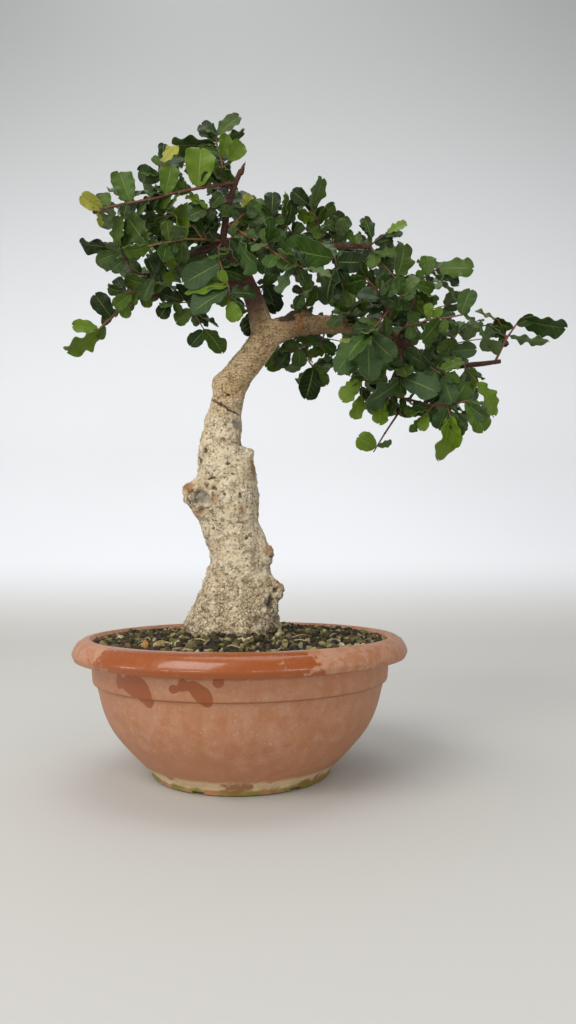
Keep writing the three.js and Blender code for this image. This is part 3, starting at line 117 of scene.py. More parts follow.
SHOOTS = tuple(Shoot.read(row) for row in """
upper_left 1.9: 235 183 -11, 221 184.5 -22, 203 187.5 -34, 184 191 -42, 168 194.6 -48,
150 199.6 -52, 135 202 -55, 119 205 -57, 103.5 208.5 -60; 103.5 208.5 -60, 98 213 -61;
168 194.6 -48, 159 172 -46, 163.4 158.5 -45: 103.3 207.5 81 194.6 17 Y, 98 213 99.5 227 7 Y,
131 202 119 172 24, 130 202.5 123 218 11, 166 194.6 134 196.5 9, 166.5 194.6 171 165.5 20,
192 189 170.5 187.5 14, 196.4 188 200.5 148.5 31 L, 186.6 190 180.4 172.8 8, 202.7 187 207 171.4 9,
162.5 159 163.4 144 12, 163.5 159 177.5 146.4 9 Y, 161 162 153 156.5 8, 161 164 167 169.5 8 Y,
163.5 160 181 157 17, 163.4 158.5 186 142.5 9, 159 166 138.6 171.4 18

top 1.6: 233 190 -11, 218 180 -18, 223 168.5 -20, 221 158.5 -20, 216.5 144 -17, 216.8 134 -15;
223 168.5 -20, 228.6 160.5 -14: 216 143 172 144 12, 216.5 142 201.3 125.4 17, 217 145 201 149 8,
216.8 135.5 240 116.5 15, 216.8 137 244 131 14, 220.7 157 226 133.5 14 L,
228.6 160.5 242.5 142.8 18 L, 219.5 176 211.6 161.5 12, 218 180 207 177 9, 221 172 229.5 172 8,
223.5 168 236 177 9

upper_inner 1.3: 230 201 -10, 214.3 206 -26, 203.8 210.7 -34: 203.8 210.7 190 191 12 L,
204 210.7 184.8 198 9 L, 204.5 210.2 222.3 194 12, 203.8 210.9 189 207 8, 210 207.5 207 221 9

left_light 1.5: 222 241 -9, 203 239.5 -24, 185 239 -38, 165 243 -50, 147.5 246 -58; 203 239.5 -24,
190 223 -30, 176 216 -36, 163 216 -40; 207 239.5 -20, 201.3 228.6 -16: 184 239 172 211 14 L,
184.6 239 184.5 204 9 L, 148.4 245.5 127.9 216.1 24, 147.6 246 123.6 250 14,
169 242.3 166.5 220.5 15, 164.5 216 148 197.3 17, 163 216 148 229.5 18, 201.3 228.6 195.5 213 11,
201.5 228.6 215 211.6 11, 202 230 187 231 9, 176 241 172 254 11

left_outer 1.4: 162 264.4 3, 148 274 -10, 138 274 -18, 131 269 -26, 127 262 -32, 119 252 -38,
117 246 -40: 117 246 80 242.3 14, 117.6 247 121 215.5 15, 119.5 253 96.6 262.5 13,
125 259.5 110.9 271.3 14 D, 127.5 263 141 246 14, 118.5 250 129 231 9

left_lime 1.1: 181 257.5 0, 177.5 268 -8, 175 273 -10: 176.8 268.5 163.4 254.8 11 L,
175 273 162.5 280.7 11 L

low_left_upper 1.5: 152 296 7, 144 293 -8, 137.7 292 -16, 124.5 293 -24; 144 293 -8, 150 284 -20,
155 274 -28: 149 286 124.7 277 18, 153.5 277 143 301 15, 155 274 152.5 256 17, 126 293 117 278 12,
124.5 293 108.2 286.5 13, 126.5 293 113.6 306.6 14, 145.5 293 146 308.4 13, 137.5 292 135 305 8

low_left_end 2.2: 140 297.2 5.5, 124 306.5 3, 112 317 0, 98 330.5 -4: 111 317.5 93.9 294 20,
98.6 330 72 326 15 L, 98 330.5 65.4 349.5 18 L, 101 328 108 316 8, 99 330 99.8 339.5 9,
127 305 124 318.5 12

low_left_hang 1.2: 187 294 14, 188 302 2, 196 316 -6, 205 331.5 -10; 188 302 2, 178 303 -6,
168 303 -12: 204 331 190.2 346.8 16, 205 331.5 222.3 354 16, 192.5 310 175.9 322.7 16,
168.5 303 159 318 15, 174 303 181 312 9

hub_down 1.6: 222 243 -9, 218.5 248 -22, 220.5 262 -34, 224 276 -40, 229 287 -42, 230 302 -40:
220.5 263 183 284 26 D, 228 286 186 292.5 17 L, 227.5 285 219.5 270.5 10 L, 229 289 192 314.6 17 D,
230 301 236.5 322 17 L, 230 300 246 311 10, 229.6 296 219 305 11

hub_right 1.2: 224 241.5 -9, 230 238.5 -24, 239.5 236.5 -32: 230 238.5 242 266.5 12 D,
239.5 236.5 261.6 265.6 12 D, 234 237.5 231 227 8

red_front 1.5: 227 224 -9.5, 238.4 231 -26, 251 238 -42, 260.7 243 -54, 271.4 250 -66,
292.9 266 -86; 271.4 250 -66, 266 242.5 -72; 231 226 -18, 240.6 217 -26, 245 213 -29;
292.9 266 -86, 298 265.5 -89, 306 268.5 -90: 292.9 266.5 282 294 14 D, 306 268.5 292.7 248.4 9,
299 266 303 254 8, 266 242.5 262 228.8 9, 266.4 243 279 247.5 9, 266 242.3 284 233 13,
254 239.5 249 230 9, 240.3 217.3 234 203 12, 244.6 213.4 259.5 203.5 14, 245 213 249.8 194.8 13 Y,
243 214.5 262.5 217.5 13, 241 216.6 249 223.5 8

crown_left 1.2: 274 255.7 25, 274 232 8, 271.5 212 -4: 271.6 213 272.3 193 18,
271.6 212.5 258 206 11, 272.2 217 262 226 13, 271.8 214 285 221 9, 273.5 229 286.5 245 14

crown_middle 1.3: 304 253 36, 295 236.5 22, 286.4 226 10, 281.3 214 4: 281.3 214 285.5 193 11 L,
285.5 224 276.5 232 9, 287 226.8 291 212.5 10, 293 234 303 224 10, 294.6 236 284 240 9

crown_right 1.3: 322 249 39.5, 320.4 229 24, 316.8 218 14, 308.4 204 4: 308 204 291.3 190.8 16,
308.6 204 320.6 177.8 15, 316 217 298 213.4 16 L, 316.8 218 334 203.6 13, 319 225 308 230 9,
320.4 229 315.5 239.5 9

crown_hub 1.2: 334 246 42, 330 233 34; 336 246 42, 339 237 36, 337 229 32: 330 233 337.5 217.5 11,
337 229 350 219.8 12, 331 237 322 236 7, 330 233 324 222 9

round_leaf 1.4: 343 325 5, 347 308 -34, 342 285 -60, 334.5 256 -70: 334.5 256 284 245.7 31,
334.8 257 362 262 21, 337 266 329 304 13, 335.5 260 346 281 14, 343 290 352 306 12

right_hub 1.7: 371 247 44, 380.5 262 38, 397.5 280 30; 371 247 44, 372 238 40; 372 244 42,
380 238 36, 387 233 32: 372 238 363.5 217.7 12, 373 243 393.4 239.6 14, 387 233 407 223.5 11 L,
372.9 250 364.5 262 14, 376 255 391.6 265 7, 395.2 277.5 402.5 244.5 21, 396.5 279 378 290 17

limb_hub 1.1: 355 246.6 43.5, 353.5 241 36: 353.5 241 347.5 231 9, 353.8 242 361 236 7

right_front 1.9: 393 338 4, 388 311 -32, 377 290 -50, 366 278 -60; 388 311 -32, 401.4 294.5 -42;
388 311 -32, 378.2 323.4 -52, 373.5 328 -58, 364 340 -66: 366 278 341.6 284.6 24,
367 279 360 261 12, 376.4 289.4 374.6 281 8 L, 377.5 291 397 304 15, 401.4 294.5 400.5 282 10,
400 296 392 309 10, 386 307 368 309 13, 365.5 338 372 325.5 9, 374 327.5 352 330 14,
364 340 337 374.3 19 D, 365 339 368.4 381.4 22 D, 365.5 338.5 394.3 359 24 D,
364.3 339.6 347 362 11, 364 340 339.4 339.5 7 Y, 364 340 351 377 7

right_green 1.6: 404 345 5, 404.5 325 -8, 413.9 301.6 -16, 414.8 283 -16, 428.2 274.8 -14,
438.5 268 -12: 428.2 275 427 256 17, 438.5 268 474 269 15, 438 269 458.4 285.4 14,
416 282.5 434 290 13, 414.6 285 402.5 301 14, 414 300 426.4 317 13, 415 282.5 399 277 6,
416 282 420.5 270 9, 414.5 288 435.4 299 10, 430 274 453 302 6, 409 313 397 318 11

right_long 1.6: 396 340 4, 405 327 -20, 420 323 -30, 430 319.3 -34, 445 318.2 -38, 464.5 314.3 -42:
461 315 471 290 19, 464.5 314.3 485.6 341.6 10, 429.5 319.5 429 303 10 L, 431 319.3 441 308 9 L,
445 318 442 333 10, 441 318.4 421 341 15, 420 323 434 334 12, 412 325 411 340 12

far_end 1.5: 495 362 10, 505.5 340 4, 509 335 3, 513.7 328 2, 521 318 0; 505.5 340 4, 504 331 2,
498 319.5 0: 513.7 328 494 320 11, 514.5 327 533.5 317 12, 521 318 566.5 326.5 13,
509 335.5 548.9 340.4 10, 498 319.5 475.5 312 7, 504.5 334 502.5 324.5 7

far_middle 1.2: 452 365.5 9.2, 453.5 359 -2, 448 349 -8: 450 352 477 349.6 15 D,
453.5 359 449.5 337.5 12, 448 349 437 367 14, 448 349 438 345 9

far_low 1.2: 464 365 9.7, 466 370 -6, 477 382 -12: 465.8 370 470 389.6 17 L, 477 382 492 416.8 8 L,
466 370 477.5 373.5 6

low_right 1.5: 392.8 396 -5, 403 398 -12, 433 405.5 -24, 447 405 -30, 456 403.4 -33,
468.5 400.5 -38; 447 405 -30, 450.4 418 -34; 433 405.5 -24, 421 418 -26:
468.3 400.6 483.4 432.4 20, 468.5 400.5 486 417.7 13 D, 450.4 418 437 460.5 15 L,
450 416 456 448 9 L, 450.4 417.7 460.8 437 14, 449.5 414 457 404.5 10, 446.8 405 437.5 429.3 20 D,
428.5 408.5 412 405.5 10, 426.4 411 422 431.4 11 L, 421 418 409.5 431.9 8, 401.4 398 404.6 418 8

low_right_front 1.2: 424 356.5 7.2, 431 368 -22, 444 376 -36: 431 368 406 350 20 D,
444 376 453 404.3 17 D, 437 372 425 386 14

centre_down 1.2: 400 352 1, 402 360 -18, 400 381.4 -32: 400 381.4 364 402.9 17 D,
400.5 381.4 439 394 21 D, 400 380 399 398 9, 401 370 414 372 11

hang_left 1.3: 386 334 4.7, 380 352 -14, 370 367 -30, 361 379 -38, 362 396 -38:
361 379 341.6 401 21 L, 362 396 351.9 418.9 13 L, 361.5 387 367 399 9, 372 365 384 374 12

droop_leaf 1.1: 392.4 394 -4.7, 386 398.2 -12, 378 398.4 -16: 378 398.4 378.2 425.2 18 L,
387 398 385.5 405.5 7, 378 398.4 371 394 6

droop_end 1.3: 399 412 -6, 385 433 -8, 373.5 452 -8: 375.5 448.5 357.5 436 20 L,
376.5 447 391.5 440 8

under_left 1.2: 328 325 5, 320.4 343.6 24, 308 345.5 26, 298 348 25, 288 352 22; 308 345.5 26,
308 359 24, 314 367.7 22: 299.4 348 299.4 367 16, 288.5 351.6 278.4 367 15, 288 352 265.9 368.6 12,
298 348 286 341 11, 313.2 367 305.2 400.3 22, 314 367.7 326.6 385.5 16, 308 357 323 350.7 14,
320 343.8 300.7 336.4 12

fork_back 1.2: 256 305 0, 262 318 26; 256 305 0, 266 281 20: 262 318 242.5 333 17,
266 281 277 313 19, 266 281 278 268 15

limb_middle 1.1: 311 324 3.4, 307.5 312 -4, 303 296 -8, 302.5 289.5 -10: 303 295 295.5 308 12,
302.5 289.5 310 281.5 9, 302.5 289.5 292.5 287 9, 306 307 318 286 15

limb_top 1.1: 349 325 5, 350 314 0, 354 308 -4, 368 297 -6: 350 314.5 337 303 13 L,
352 311 349 292.5 13, 366 299 358 293 9, 356 306.5 372 307 11
""".strip().split("\n\n"))

BACK_TWIGS = {
    "back_shoot_left_high": read_spots("226 240 -8, 205 226 40, 180 212 78"),
    "back_shoot_top": read_spots("228 207 -10, 217 186 32, 205 163 55"),
    "back_shoot_left": read_spots("176 259 1.5, 158 247 44, 142 238 66"),
    "back_shoot_left_low": read_spots("164 295 10.3, 150 284 46, 134 276 72"),
    "back_shoot_inner_left": read_spots("206 290 14, 203 285 52, 190 284 92"),
    "back_shoot_inner": read_spots("238 264 -5.6, 228 262 50, 218 262 100"),
    "back_shoot_crown_left": read_spots("252 252.5 13, 250 232 60, 246 216 98"),
    "back_shoot_crown": read_spots("288 255 30, 288 240 76, 286 228 120"),
    "back_shoot_crown_right": read_spots("312 251 37.5, 318 246 84, 322 240 124"),
    "back_shoot_hub": read_spots("350 246.5 43, 356 252 84, 362 258 116"),
    "back_shoot_limb": read_spots("354 325.5 5, 350 312 54, 342 300 96"),
    "back_shoot_right": read_spots("400 342 4.6, 410 320 52, 420 302 88"),
    "back_shoot_right_low": read_spots("372 329 5, 380 350 52, 386 370 88"),
    "back_shoot_far": read_spots("436 361.5 8.4, 448 346 48, 460 330 72"),
    "back_shoot_far_low": read_spots("430 359 8, 440 380 50, 452 396 78"),
    "back_shoot_under": read_spots("318 325 4, 312 338 44, 300 350 70"),
}



TRUNK_AXIS = read_spots("""
232 652 4 39, 232.5 640 4 45, 233.5 626 4 47.5, 235 612 4 43, 236 597 4 37.5, 237.5 580 4 31,
239 560 4 28.5, 238 545 4 28.5, 232 530 4 27.6, 229.7 515 4 30, 228.5 498 4 31.5,
227.6 478 4 28.5, 223.5 463 4 26.5, 220.5 450 4 22.5, 222.2 433 4 19.2, 224 415 4 17.3,
228 401 4 15.5, 230.5 388 4 16, 239.5 372.5 4 15, 252 357 4 14.6, 262.5 342 3 14.8,
268 331 2 13.5
""")

# Swellings of the trunk: down as seen, bearing in degrees, rise, spread
TRUNK_KNOTS = read_spots("""
494 -160 11 14, 462 -15 7 7, 556 -20 8 8, 584 -22 16 12, 605 -35 8 12, 387 180 4 6,
620 -150 5 14, 624 -80 5 12
""")

LIMBS = {name: read_spots(rows) for name, rows in (text.split(":") for text in """
left: 264 336 2 12, 257 308 0 9.6, 247.5 285 -3 8.2, 237 262 -6 7.4, 225 242 -9 6.4

stub: 222 246 -8 5.6, 228 207 -10 4.4, 234 187 -11 4.1, 241 170 -12 3.6

right: 262 340 3 13, 284 328 2 11.5, 304 325 3 10, 322 324.8 4 8.8, 352 325.3 5 7.6,
378 330 5 6.6, 398 341 4 6

far: 394 338 4 5.6, 418 354 7 4.4, 446 365.5 9 3.2, 474 364.6 10 2.6, 501 361.3 10 2.1

droop: 396 338 4 5, 400.5 360 0 3.6, 392 386 -4 2.8, 393 398 -5 2.6, 399.6 412.6 -6 2.4,
408 416 -6 1.9, 417.5 413.5 -5 1.3

upper: 231 252 -7 5.2, 250 252 12 4.8, 276 256 26 4.2, 304 253 36 3.6, 334 246 42 3,
371 247 44 2.3

left_middle: 224 243 -8 4.4, 206 249 -4 4, 193 253 -2 3.6, 174 260 2 2.9, 160 265 3 2.2

left_low: 243 276 -4 5, 226 284 8 4.8, 206 290 14 4.4, 186 294 14 4, 162 295 10 3.2,
137 297.5 5 2.3
""".strip().split("\n\n"))}

# The root flare's waves start at a down as seen, and are full after a span
FLARE_DOWN, FLARE_SPAN = 590, 40
FORK_LUMP = {"at": (299, 317.5, 2), "size": (13, 9, 8.5)}
FORK_RING = {"at": (302, 325, 3), "to": (308.5, 325, 3), "radius": 10.6}

# Outline of the crown as seen: the leaves of the far side stay within it
CROWN = read_spots("""
240 116, 246 132, 244 146, 250 180, 262 194, 286 192, 318 178, 334 204, 364 218, 378 234,
407 224, 404 244, 427 256, 474 269, 472 290, 478 312, 502 322, 534 318, 566 326, 548 341,
502 350, 500 366, 484 376, 492 416, 483 432, 437 460, 422 432, 378 426, 360 420, 337 374,
326 386, 305 400, 278 367, 266 352, 240 334, 222 354, 205 332, 176 324, 159 318, 124 318, 72 348,
66 330, 94 294, 97 262, 80 242, 100 226, 81 195, 119 172, 138 160, 172 143, 201 126
""")


@dataclass(frozen=True)
class View:
    """The point from which the tree's outlines are given, and the photograph's camera."""

    centre_across: float = 288.0
    centre_down: float = 512.0
    focal: float = 754.9
    pitch: float = math.radians(3.57)
    roll: float = math.radians(-0.27)
    at: Row = (42.9, -696.9, 190.3)

    def place(self, spot: Row) -> Point:
        """Turn a seen spot into a point.

        Args:
            spot: Across and down as seen, and depth behind the bowl's axis.

        Returns:
            The point in millimetres.
        """
        px, py = spot[0] - self.centre_across, spot[1] - self.centre_down
        cos_roll, sin_roll = math.cos(self.roll), math.sin(self.roll)
        qx = (px * cos_roll + py * sin_roll) / self.focal
        qy = (-px * sin_roll + py * cos_roll) / self.focal
        ahead = math.cos(self.pitch) + qy * math.sin(self.pitch)
        rise = math.sin(self.pitch) - qy * math.cos(self.pitch)
        reach = (spot[2] - self.at[1]) / ahead
        return np.array((self.at[0] + reach * qx, spot[2], self.at[2] + reach * rise))

    def seen_at(self, points: Point) -> tuple[Point, Point]:
        """Give the across and the down at which points are seen.

        Args:
            points: The points.

        Returns:
            The two arrays.
        """
        away = points - np.array(self.at)
        ahead = away[..., 1] * math.cos(self.pitch) + away[..., 2] * math.sin(self.pitch)
        qx = self.focal * away[..., 0] / ahead
        rise = away[..., 1] * math.sin(self.pitch) - away[..., 2] * math.cos(self.pitch)
        qy = self.focal * rise / ahead
        px = qx * math.cos(self.roll) - qy * math.sin(self.roll)
        py = qx * math.sin(self.roll) + qy * math.cos(self.roll)
        return self.centre_across + px, self.centre_down + py

    def unit_size(self, depth: float) -> float:
        """Give the millimetres of one picture unit at a depth."""
        return (depth - self.at[1]) / self.focal

    def on_round(self, across: float, down: float, radius: float) -> tuple[float, float]:
        """Find where a sight line first meets an upright cylinder round the bowl's axis.

        Args:
            across: Across as seen.
            down: Down as seen.
            radius: Radius of the cylinder.

        Returns:
            Bearing in radians and height.
        """
        start = np.array(self.at)
        way = self.place((across, down, 0.0)) - start
        a = way[0] ** 2 + way[1] ** 2
        b = start[0] * way[0] + start[1] * way[1]
        c = start[0] ** 2 + start[1] ** 2 - radius**2
        spot = start + way * ((-b - math.sqrt(max(b * b - a * c, 0.0))) / a)
        return math.atan2(spot[1], spot[0]), float(spot[2])


VIEW = View()


class Draws:
    """Repeatable draws between two values."""

    def __init__(self, state: int) -> None:
        """Start from a seed."""
        self.state = state

    def between(self, low: float, high: float) -> float:
        """Draw the next value."""
        self.state = self.state * 16807 % 2147483647
        return low + (high - low) * self.state / 2147483647


def unit(vector: Point) -> Point:
    """Scale a vector to a length of one."""
    return vector / np.linalg.norm(vector)


def smooth_points(points: Sequence[Point], count: int) -> list[Point]:
    """Run a centripetal curve through points.

    Args:
        points: The points it passes.
        count: Number of steps along it.

    Returns:
        count + 1 points, evenly spread over the rows.
    """
    ends = [2 * points[0] - points[1], *points, 2 * points[-1] - points[-2]]
    found = []
    for i in range(count + 1):
        spot = i / count * (len(points) - 1)
        row = min(int(spot), len(points) - 2)
        part = spot - row
        p0, p1, p2, p3 = ends[row:row + 4]
        t0, t1, t2 = (max(np.linalg.norm(b - a) ** 0.5, 1e-4)
                      for a, b in ((p0, p1), (p1, p2), (p2, p3)))
        start = ((p1 - p0) / t0 - (p2 - p0) / (t0 + t1) + (p2 - p1) / t1) * t1
        end = ((p2 - p1) / t1 - (p3 - p1) / (t1 + t2) + (p3 - p2) / t2) * t1
        found.append(p1 + start * part + (3 * (p2 - p1) - 2 * start - end) * part**2
                     + (2 * (p1 - p2) + start + end) * part**3)
    return found


def smooth_step(low: float, high: float, values: Point) -> Point:
    """Rise smoothly from 0 at low to 1 at high."""
    part = np.clip((values - low) / (high - low), 0, 1)
    return part * part * (3 - 2 * part)


@dataclass(frozen=True)
class Looks:
    """What is drawn for each leaf: how it leans, rolls, arches, folds and waves."""

    lean: float
    roll: float
    handed: float
    phase: float
    arch: float
    fold: float
    wave: float

    @classmethod
    def drawn(cls, draws: Draws) -> "Looks":
        """Draw the looks of one leaf.

        Args:
            draws: Where they come from.

        Returns:
            The looks.
        """
        lean, roll = draws.between(-0.45, 0.45), draws.between(-0.3, 0.3)
        handed = 1.0 if draws.between(-1, 1) > 0 else -1.0
        phase = draws.between(0, 2 * math.pi)
        arch, fold = draws.between(0.02, 0.1), draws.between(0.05, 0.3)
        return cls(lean, roll, handed, phase, arch, fold, draws.between(0.03, 0.07))


WAVES = 2.1
ARCH_TURN = 2.6
UPRIGHT = np.array((0.0, 0.0, 1.0))


def blade_outline(share: Point) -> Point:
    """Give a leaflet's half width at a share of its length, 1 at its widest."""
    share = np.clip(share, 0, 1)
    return share**0.62 * np.sqrt(1 - share**3.2) / 0.667


def frame_of(axis: Point, facing: Point, turn: float) -> tuple[Point, Point, Point]:
    """Turn a leaf about its axis.

    Args:
        axis: Direction of its rib.
        facing: Direction that its upper face looks to before the turn.
        turn: Turn about the axis in radians.

    Returns:
        Axis, normal of the upper face, and side.
    """
    flat = unit(facing - axis * facing.dot(axis))
    normal = flat * math.cos(turn) + np.cross(axis, flat) * math.sin(turn)
    return axis, normal, np.cross(normal, axis)


@dataclass(frozen=True)
class Blade:
    """One leaflet that stands on a stem."""

    looks: Looks
    base: Point
    frame: tuple[Point, Point, Point]
    length: float
    width: float
    tint: Tint

    def surface(self, share: Point, side: Point, lift: float | Point = 0.0) -> Point:
        """Give points of its middle surface: share along the rib, side from -1 to 1.

        Args:
            share: Shares along the rib.
            side: From -1 to 1.
            lift: Height above the surface.

        Returns:
            The points.
        """
        axis, normal, across = self.frame
        looks = self.looks
        half = 0.5 * self.width * blade_outline(share)
        ripple = np.sin(2 * math.pi * WAVES * share + looks.phase + np.where(side > 0, 0, 2))
        rise = (looks.arch * self.length * np.sin(ARCH_TURN * share)
                + looks.fold * np.abs(side) * half
                + looks.wave * self.length * side * side * share * ripple + lift)
        return (self.base + np.outer(self.length * share, axis) + np.outer(side * half, across)
                + np.outer(rise, normal))

    def spots(self) -> tuple[Point, Point]:
        """Give the spots that other leaves keep clear of, and their shares.

        Returns:
            Spots and shares.
        """
        share = np.array([1.0] + [0.15 * i for i in range(1, 7) for _ in range(5)])
        side = np.array([0.0] + [0.45 * j for _ in range(6) for j in range(-2, 3)])
        return self.surface(share, side), share


@dataclass(frozen=True)
class CompoundLeaf:
    """A leaf of the far side: leaflets in pairs along a rib."""

    looks: Looks
    base: Point
    frame: tuple[Point, Point, Point]
    length: float
    leaflet: float
    pairs: tuple[float, float] = (0.52, 0.96)
    sizes: tuple[float, float] = (0.92, 1.0)
    opens: tuple[float, float] = (1.15, 0.75)
    breadth: float = 0.78
    rib_half: float = 0.8

    def point(self, along: Point, beside: Point, lift: float | Point = 0.0) -> Point:
        """Give points in millimetres along and beside its rib.

        Args:
            along: Distances along the rib.
            beside: Distances beside it.
            lift: Height above the surface.

        Returns:
            The points.
        """
        axis, normal, across = self.frame
        bow = self.looks.arch * self.length * np.sin(ARCH_TURN * along / self.length)
        rise = bow + self.looks.fold * np.abs(beside) + lift
        return (self.base + np.outer(along, axis) + np.outer(beside, across)
                + np.outer(rise, normal))

    def surface(self, pair: int, hand: int, share: Point, side: Point,
                lift: float | Point = 0.0) -> Point:
        """Give points of one leaflet.

        Args:
            pair: Number of its pair from the twig.
            hand: 1 or -1, its side of the rib.
            share: Shares along the leaflet.
            side: From -1 towards the twig to 1.
            lift: Height above the middle surface.

        Returns:
            The points.
        """
        size, opening = self.leaflet * self.sizes[pair], self.opens[pair]
        half = 0.5 * self.breadth * size * blade_outline(share) * side
        along = (self.pairs[pair] * self.length + share * size * math.cos(opening)
                 + half * math.sin(opening))
        beside = self.rib_half + share * size * math.sin(opening) - half * math.cos(opening)
        ripple = np.sin(2 * math.pi * WAVES * share + self.looks.phase + 2 * hand + pair + side)
        wave = self.looks.wave * size * side * side * share * ripple
        return self.point(along, hand * beside, wave + lift)

    def spots(self) -> tuple[Point, Point]:
        """Give the spots that other leaves keep clear of, and their shares.

        Returns:
            Spots and shares.
        """
        ten = np.array([0.1 * i for i in range(1, 11)])
        share = np.array([s for s in (0.2, 0.4, 0.6, 0.8, 1.0) for _ in range(5)])
        side = np.array([s for _ in range(5) for s in (-0.9, -0.45, 0.0, 0.45, 0.9)])
        spots = [self.point(ten * self.length, 0 * ten)]
        spots += [self.surface(pair, hand, share, side) for pair in (0, 1) for hand in (1, -1)]
        return np.concatenate(spots), np.concatenate([ten, np.ones(4 * len(share))])


@dataclass
class Clearance:
    """The spots that are taken, and the distances that leaves keep from them."""

    leaf_gap: float = 3.0
    twin_gap: float = 1.8
    stem_gap: float = 1.6
    shoulder: float = 7.0
    spots: Point = field(default_factory=lambda: np.empty((0, 3)))
    bases: Point = field(default_factory=lambda: np.empty((0, 3)))
    radii: Point = field(default_factory=lambda: np.empty(0))
    shares: Point = field(default_factory=lambda: np.empty(0))

    def take(self, spots: Point, shares: Point | None = None, base: Point | None = None,
             radii: Point | None = None) -> None:
        """Keep spots of a blade, with shares and base, or of a stem, with radii.

        Args:
            spots: The spots.
            shares: Their shares of a blade.
            base: The blade's base.
            radii: Radii of a stem.
        """
        count = len(spots)
        self.spots = np.concatenate([self.spots, spots])
        self.bases = np.concatenate([self.bases, spots if base is None else
                                     np.broadcast_to(base, (count, 3))])
        self.radii = np.concatenate([self.radii, np.full(count, -1.0) if radii is None
                                     else radii])
        self.shares = np.concatenate([self.shares, np.zeros(count) if shares is None
                                      else shares])

    def take_stem(self, points: Sequence[Point], radii: Sequence[float]) -> None:
        """Keep spots along a stem, 3 mm or less apart.

        Args:
            points: The stem's points.
            radii: Its radii.
        """
        for i in range(len(points) - 1):
            steps = math.ceil(np.linalg.norm(points[i + 1] - points[i]) / 3)
            part = np.arange(steps + 1) / steps
            self.take(points[i] + np.outer(part, points[i + 1] - points[i]),
                      radii=radii[i] * (1 - part) + radii[i + 1] * part)

    def near(self, base: Point, reach: float) -> "Clearance":
        """Give the taken spots within a reach of a base.

        Args:
            base: Middle of the search.
            reach: Its radius.

        Returns:
            Those spots.
        """
        kept = np.linalg.norm(self.spots - base, axis=1) < reach
        return Clearance(spots=self.spots[kept], bases=self.bases[kept],
                         radii=self.radii[kept], shares=self.shares[kept])

    def is_clear(self, spots: Point, shares: Point, base: Point) -> bool:
        """Tell whether a leaf's spots are all far enough from the taken ones.

        Args:
            spots: The leaf's spots.
            shares: Their shares.
            base: Its base.

        Returns:
            True if they are.
        """
        is_stem = self.radii >= 0
        away = np.linalg.norm(self.bases - base, axis=1) - np.maximum(self.radii, 0)
        stem = np.where(away <= self.shoulder, 0, self.radii + self.stem_gap)
        blade = np.where(away >= self.shoulder, self.leaf_gap, 0)
        need = np.broadcast_to(np.where(is_stem, stem, blade), (len(spots), len(away))).copy()
        twins = ~is_stem & (away < self.shoulder) & (self.shares >= 0.5)
        need[np.ix_(shares >= 0.5, twins)] = self.twin_gap
        gaps = np.linalg.norm(spots[:, None, :] - self.spots[None, :, :], axis=2)
        return bool(np.all(gaps >= need))


def is_in_crown(points: Point) -> bool:
    """Tell whether points are all seen inside the crown's outline.

    Args:
        points: The points.

    Returns:
        True if every one is.
    """
    across, down = VIEW.seen_at(points)
    inside = np.zeros(len(points), bool)
    for (x, y), (next_x, next_y) in zip(CROWN, CROWN[1:] + CROWN[:1]):
        crosses = (y > down) != (next_y > down)
        if next_y != y:
            inside ^= crosses & (across < x + (next_x - x) * (down - y) / (next_y - y))
    return bool(inside.all())


def trunk_radius(share: float, bearings: Point) -> Point:
    """Give the trunk's radii at a share of its axis, with its swellings and root flare.

    Args:
        share: Share of the axis.
        bearings: Bearings of the sides.

    Returns:
        A radius for each bearing.
    """
    spot = share * (len(TRUNK_AXIS) - 1)
    row = min(int(spot), len(TRUNK_AXIS) - 2)
    part = spot - row
    _, down, depth, half = (a * (1 - part) + b * part
                            for a, b in zip(TRUNK_AXIS[row], TRUNK_AXIS[row + 1]))
    scale = VIEW.unit_size(depth)
    radius = half * scale * (1 + 0.025 * np.sin(3 * bearings + 0.02 * down))
    flare = max(0.0, (down - FLARE_DOWN) / FLARE_SPAN)
    radius = radius * (1 + 0.05 * flare * np.sin(5 * bearings + 1))
    for knot_down, knot_bearing, rise, spread in TRUNK_KNOTS:
        turn = bearings - math.radians(knot_bearing)
        around = np.arctan2(np.sin(turn), np.cos(turn)) * half * scale
        along = (down - knot_down) * scale
        radius = radius + rise * np.exp(-(around * around + along * along) / spread**2)
    return radius


@dataclass
class Sprig:
    """A grown shoot: its node's name, its stems and its leaves."""

    name: str
    stems: list[tuple[list[Point], list[float]]]
    leaves: list[Blade | CompoundLeaf] = field(default_factory=list)


